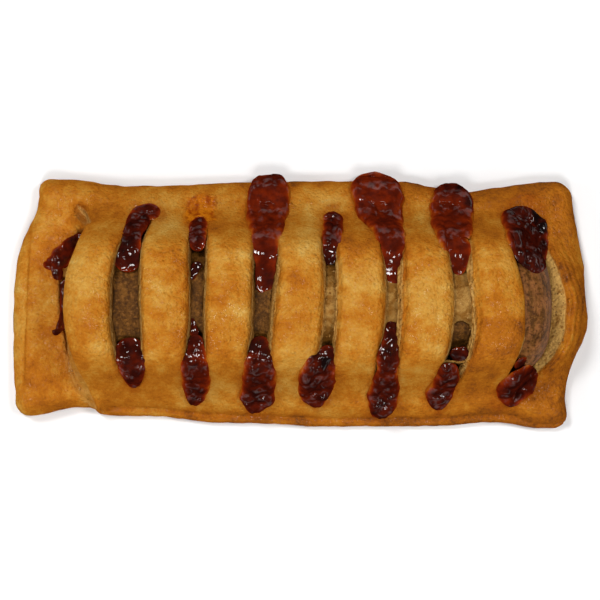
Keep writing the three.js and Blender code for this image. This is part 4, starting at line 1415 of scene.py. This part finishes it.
# %% Relish material
def relish_material():
    g = Graph("dark_relish")
    cloud = g.math("SUBTRACT", g.noise(2.6, detail=2), 0.5)
    thickness = g.math("ADD", g.value("thickness"), g.math("MULTIPLY", cloud, 3.2))
    colour = g.ramp(g.span(thickness, 0, 4.4), [
        (0.0, (160, 84, 18)), (0.14, (142, 54, 10)), (0.3, (114, 33, 8)),
        (0.5, (82, 21, 7)), (0.72, (52, 13, 7)), (1.0, (20, 8, 7)),
    ])
    skin = g.bump(g.noise(1.9, detail=1, stretch=(1.0, 0.6, 0.4)), 0.7, 0.6)
    glossy = g.span(g.noise(2.2), 0.43, 0.57)
    wet = g.math("MULTIPLY", g.span(g.value("facing"), 0.5, 0.76), glossy)
    return g.finish(Base_Color=colour, Roughness=0.6, Specular_IOR_Level=0.0,
                    Coat_Weight=wet, Coat_Roughness=0.06, Coat_IOR=1.48, Coat_Normal=skin)


RELISH = relish_material()
for pool in pools:
    pool.data.materials.append(RELISH)
print("the relish's finish has", len(RELISH.node_tree.nodes), "nodes")

# %% [markdown]
# ## Finish of the meat
# Baked sausage meat is a dull brown, speckled with darker and paler grains, with faint fibres. At
# its open right end the fibres are rosier. It is moist but hardly shiny.

# %% Meat material
def meat_material():
    g = Graph("sausage_meat")
    grain = g.noise(0.8, detail=4, roughness=0.65)
    cloud = g.noise(5, detail=3)
    fibre = g.noise(1.4, detail=3, stretch=(1.0, 0.3, 1.0))
    colour = g.ramp(g.math("ADD", g.math("MULTIPLY", cloud, 0.6), g.math("MULTIPLY", fibre, 0.4)), [
        (0.34, (60, 36, 9)), (0.5, (86, 52, 13)), (0.66, (116, 74, 24)),
    ])
    rosy = g.math("MULTIPLY", g.value("baked_end"), g.span(fibre, 0.4, 0.6, 0.1, 0.7))
    colour = g.mix(rosy, colour, screen_colour(156, 98, 54))
    colour = g.mix(g.span(grain, 0.52, 0.64, 0, 0.7), colour, screen_colour(48, 26, 9))
    colour = g.mix(g.span(grain, 0.46, 0.34, 0, 0.6), colour, screen_colour(140, 92, 42))
    normal = g.bump(grain, 0.6, 0.45)
    return g.finish(Base_Color=colour, Roughness=0.5, Normal=normal, Specular_IOR_Level=0.08)


meat.data.materials.append(meat_material())
print("the meat's finish has", len(meat.data.materials[0].node_tree.nodes), "nodes")

# %% [markdown]
# ## Blisters and crumbs
# Steam lifts tiny blisters in the crust's skin, and the torn dough in the slits is crumbly. They
# could be bump in the material, but then they would be gone from the mesh. Geometry Nodes scatter
# real ones: points on the faces, as close together as a stored value says, with a small shape on
# each. A blister lies flat on the skin and keeps the crust's stored values, so the crust's own
# material colours it to match its place. A crumb is turned at random and has a finish of its own,
# mixed from three shades of baked dough.

# %% Scatter tree
SCATTER_SEED = 7


def scatter_tree(name, density_name, tumbled):
    """A tree that scatters small shapes over a mesh, as densely as one of its stored values says."""
    tree = bpy.data.node_groups.new(name, "GeometryNodeTree")
    tree.interface.new_socket("Geometry", in_out="INPUT", socket_type="NodeSocketGeometry")
    for socket in ("Density", "Radius", "Height share"):
        tree.interface.new_socket(socket, in_out="INPUT", socket_type="NodeSocketFloat")
    tree.interface.new_socket("Finish", in_out="INPUT", socket_type="NodeSocketMaterial")
    tree.interface.new_socket("Geometry", in_out="OUTPUT", socket_type="NodeSocketGeometry")

    def add(kind, inputs=(), **settings):
        made = tree.nodes.new(kind)
        for key, value in settings.items():
            setattr(made, key, value)
        for key, value in dict(inputs).items():
            if isinstance(value, bpy.types.NodeSocket):
                tree.links.new(value, made.inputs[key])
            else:
                made.inputs[key].default_value = value
        return made.outputs

    given = add("NodeGroupInput")
    stored = add("GeometryNodeInputNamedAttribute", {"Name": density_name}, data_type="FLOAT")
    density = add("ShaderNodeMath", {0: given["Density"], 1: stored["Attribute"]}, operation="MULTIPLY")
    points = add("GeometryNodeDistributePointsOnFaces", {
        "Mesh": given["Geometry"], "Density": density[0], "Seed": SCATTER_SEED,
    })
    ball = add("GeometryNodeMeshUVSphere", {"Segments": 8, "Rings": 5, "Radius": given["Radius"]})
    flatness = add("ShaderNodeCombineXYZ", {"X": 1.0, "Y": 1.0, "Z": given["Height share"]})
    height = add("ShaderNodeMath", {0: given["Radius"], 1: given["Height share"]}, operation="MULTIPLY")
    depth = add("ShaderNodeMath", {0: height[0], 1: -0.5}, operation="MULTIPLY")
    sunk = add("ShaderNodeCombineXYZ", {"Z": depth[0]})
    shape = add("GeometryNodeTransform", {
        "Geometry": ball["Mesh"], "Scale": flatness[0], "Translation": sunk[0],
    })
    turn = add("FunctionNodeRandomValue", {1: (6.3, 6.3, 6.3), "Seed": SCATTER_SEED + 1},
               data_type="FLOAT_VECTOR")
    size = add("FunctionNodeRandomValue", {2: 0.5, 3: 1.5, "Seed": SCATTER_SEED + 2}, data_type="FLOAT")
    placed = add("GeometryNodeInstanceOnPoints", {
        "Points": points["Points"], "Instance": shape["Geometry"], "Scale": size[1],
        "Rotation": turn[0] if tumbled else points["Rotation"],
    })
    real = add("GeometryNodeRealizeInstances", {"Geometry": placed["Instances"]})
    smooth = add("GeometryNodeSetShadeSmooth", {"Geometry": real["Geometry"], "Shade Smooth": not tumbled})
    finished = add("GeometryNodeSetMaterial", {"Geometry": smooth["Geometry"], "Material": given["Finish"]})
    add("NodeGroupOutput", {"Geometry": finished["Geometry"]})
    return tree


def scattered(name, source, tree, **inputs):
    """A plain mesh piece of what the tree scatters over the source piece."""
    piece = bpy.data.objects.new(name, source.data)
    bpy.context.scene.collection.objects.link(piece)
    modifier = piece.modifiers.new("scatter", "NODES")
    modifier.node_group = tree
    for item in tree.interface.items_tree:
        key = item.name.replace(" ", "_").lower()
        if item.in_out == "INPUT" and key in inputs:
            modifier[item.identifier] = inputs[key]
    depsgraph = bpy.context.evaluated_depsgraph_get()
    made = bpy.data.meshes.new_from_object(
        piece.evaluated_get(depsgraph), preserve_all_data_layers=True, depsgraph=depsgraph
    )
    piece.modifiers.clear()
    piece.data = made
    made.name = name
    made.calc_loop_triangles()
    print(name, len(made.loop_triangles), "triangles")
    return piece


# %% [markdown]
# Crumbs are dry torn dough, in three shades of brown from dark to pale, with no shine at all.

# %% Crumb material
def crumb_material():
    g = Graph("torn_crumb")
    colour = g.ramp(g.noise(0.9, detail=3), [
        (0.36, (116, 74, 28)), (0.5, (158, 114, 58)), (0.62, (190, 150, 92)),
    ])
    return g.finish(Base_Color=colour, Roughness=0.8, Specular_IOR_Level=0.0)


# %% [markdown]
# The same kind of tree makes both: flat blisters on the bare skin of the crust, and smaller tumbled
# crumbs on its cut faces. Each result is a plain mesh of its own.

# %% Scatter blisters and crumbs
CRUST = pastry.data.materials[0]
CRUMB = crumb_material()
PER_MM2 = 1e6  # points on each square metre for one on each square millimetre
blisters = scattered("crust_blisters", pastry, scatter_tree("blisters", "blistered", tumbled=False),
                     density=0.22 * PER_MM2, radius=0.5 * MM, height_share=0.28, finish=CRUST)
crumbs = scattered("dough_crumbs", pastry, scatter_tree("crumbs", "crumbly", tumbled=True),
                   density=0.42 * PER_MM2, radius=0.26 * MM, height_share=0.6, finish=CRUMB)
pastry.data.calc_loop_triangles()
print("crust:", len(pastry.data.loop_triangles), "triangles")

# %% [markdown]
# ## Joining the pieces to the model
# Each piece takes the place of its node in the imported model. The scattered blisters and crumbs
# have no node and are only added. The roll has no joints, so everything rides on its one body.

# %% Ride and replace
def place_in_model(piece, slot, *nodes):
    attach(piece, "root")
    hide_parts(*nodes)


place_in_model(pastry, "crust", "pastry")
place_in_model(meat, "sausage_meat", "sausage_meat")
for pool, node in zip(pools, POOLS):
    place_in_model(pool, "relish", node)
for scatter in (blisters, crumbs):
    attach(scatter, "root")

# %% [markdown]
# ## Studio
# A plain white floor, three soft lights high up on three sides, and two small low ones. A glint is
# the picture of a light in the wet relish: small lights give small sharp glints, and the low ones
# reach the steep sides.

# %% Floor, world and lights
FLOOR_SIZE = 3.0
FLOOR_GAP = 0.0003  # keeps the floor clear of the roll's base
WORLD_STRENGTH = 0.05


def studio_floor():
    half = FLOOR_SIZE / 2
    mesh = bpy.data.meshes.new("floor")
    corners = [(-half, -half, 0), (half, -half, 0), (half, half, 0), (-half, half, 0)]
    mesh.from_pydata(corners, [], [(0, 1, 2, 3)])
    floor = bpy.data.objects.new("floor", mesh)
    floor.location.z = -FLOOR_GAP
    bpy.context.scene.collection.objects.link(floor)
    g = Graph("white_floor")
    mesh.materials.append(g.finish(Base_Color=screen_colour(246, 246, 246), Roughness=0.9))
    return floor


studio_floor()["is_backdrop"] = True
world = bpy.data.worlds.new("studio")
world.use_nodes = True
world.node_tree.nodes["Background"].inputs["Color"].default_value = (1, 1, 1, 1)
world.node_tree.nodes["Background"].inputs["Strength"].default_value = WORLD_STRENGTH
bpy.context.scene.world = world


def soft_light(name, place, size, power):
    """A round lamp that shines at the roll; place and size in metres, power in watts."""
    light = bpy.data.lights.new(name, "AREA")
    light.shape, light.size, light.energy = "DISK", size, power
    lamp = bpy.data.objects.new(name, light)
    lamp.location = place
    lamp.rotation_euler = Vector(place).to_track_quat("Z", "Y").to_euler()
    bpy.context.scene.collection.objects.link(lamp)


soft_light("key", (-0.4, 0.42, 1.0), 0.27, 6.0)
soft_light("right", (0.5, 0.1, 1.0), 0.24, 4.0)
soft_light("near", (-0.05, -0.55, 0.95), 0.26, 4.4)
soft_light("low left", (-0.8, -0.1, 0.6), 0.18, 1.6)
soft_light("low near", (-0.05, -0.95, 0.6), 0.16, 1.3)
print("lights:", len(bpy.data.lights))

# %% [markdown]
# ## Camera
# The camera looks almost straight down, from so far away that the roll's height shifts things
# outward only a little. The lens follows from the distance: focal length is to distance as the
# sensor's width is to the width of the view.

# %% Camera
FRAME_PIXELS = 600
SENSOR = 36.0
CAMERA_DISTANCE = 480.0
CAMERA_ELEVATION = math.radians(88)
MM_PER_PIXEL = 0.287
ORIGIN_PIXEL = (300, 303)  # where the drawing frame's origin falls in the picture
AIM_HEIGHT = 6.0

target = np.array([
    (FRAME_PIXELS / 2 - ORIGIN_PIXEL[0]) * MM_PER_PIXEL,
    (ORIGIN_PIXEL[1] - FRAME_PIXELS / 2) * MM_PER_PIXEL,
    AIM_HEIGHT,
])
back = np.array([0, -math.cos(CAMERA_ELEVATION), math.sin(CAMERA_ELEVATION)])
camera_data = bpy.data.cameras.new("camera")
camera_data.sensor_width = SENSOR
camera_data.lens = SENSOR * CAMERA_DISTANCE / (FRAME_PIXELS * MM_PER_PIXEL)
camera_data.clip_start, camera_data.clip_end = 0.01, 10
camera = bpy.data.objects.new("camera", camera_data)
camera.location = to_model(target + back * CAMERA_DISTANCE)
camera.rotation_euler = Vector(back).to_track_quat("Z", "Y").to_euler()
bpy.context.scene.collection.objects.link(camera)
bpy.context.scene.camera = camera
bpy.context.scene.view_settings.view_transform = "Standard"
print("lens", round(camera_data.lens, 1), "mm")

# %% [markdown]
# The finished roll has to stay the size of the model. Both boxes are written down to compare.

# %% Sizes and finish
visual_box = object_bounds()
for corner, cad, visual in zip(("low", "high"), CAD_BOX, visual_box):
    in_mm = [[round(v / MM, 1) for v in point] for point in (cad, visual)]
    print(corner, "corner, mm: model", in_mm[0], "roll", in_mm[1])
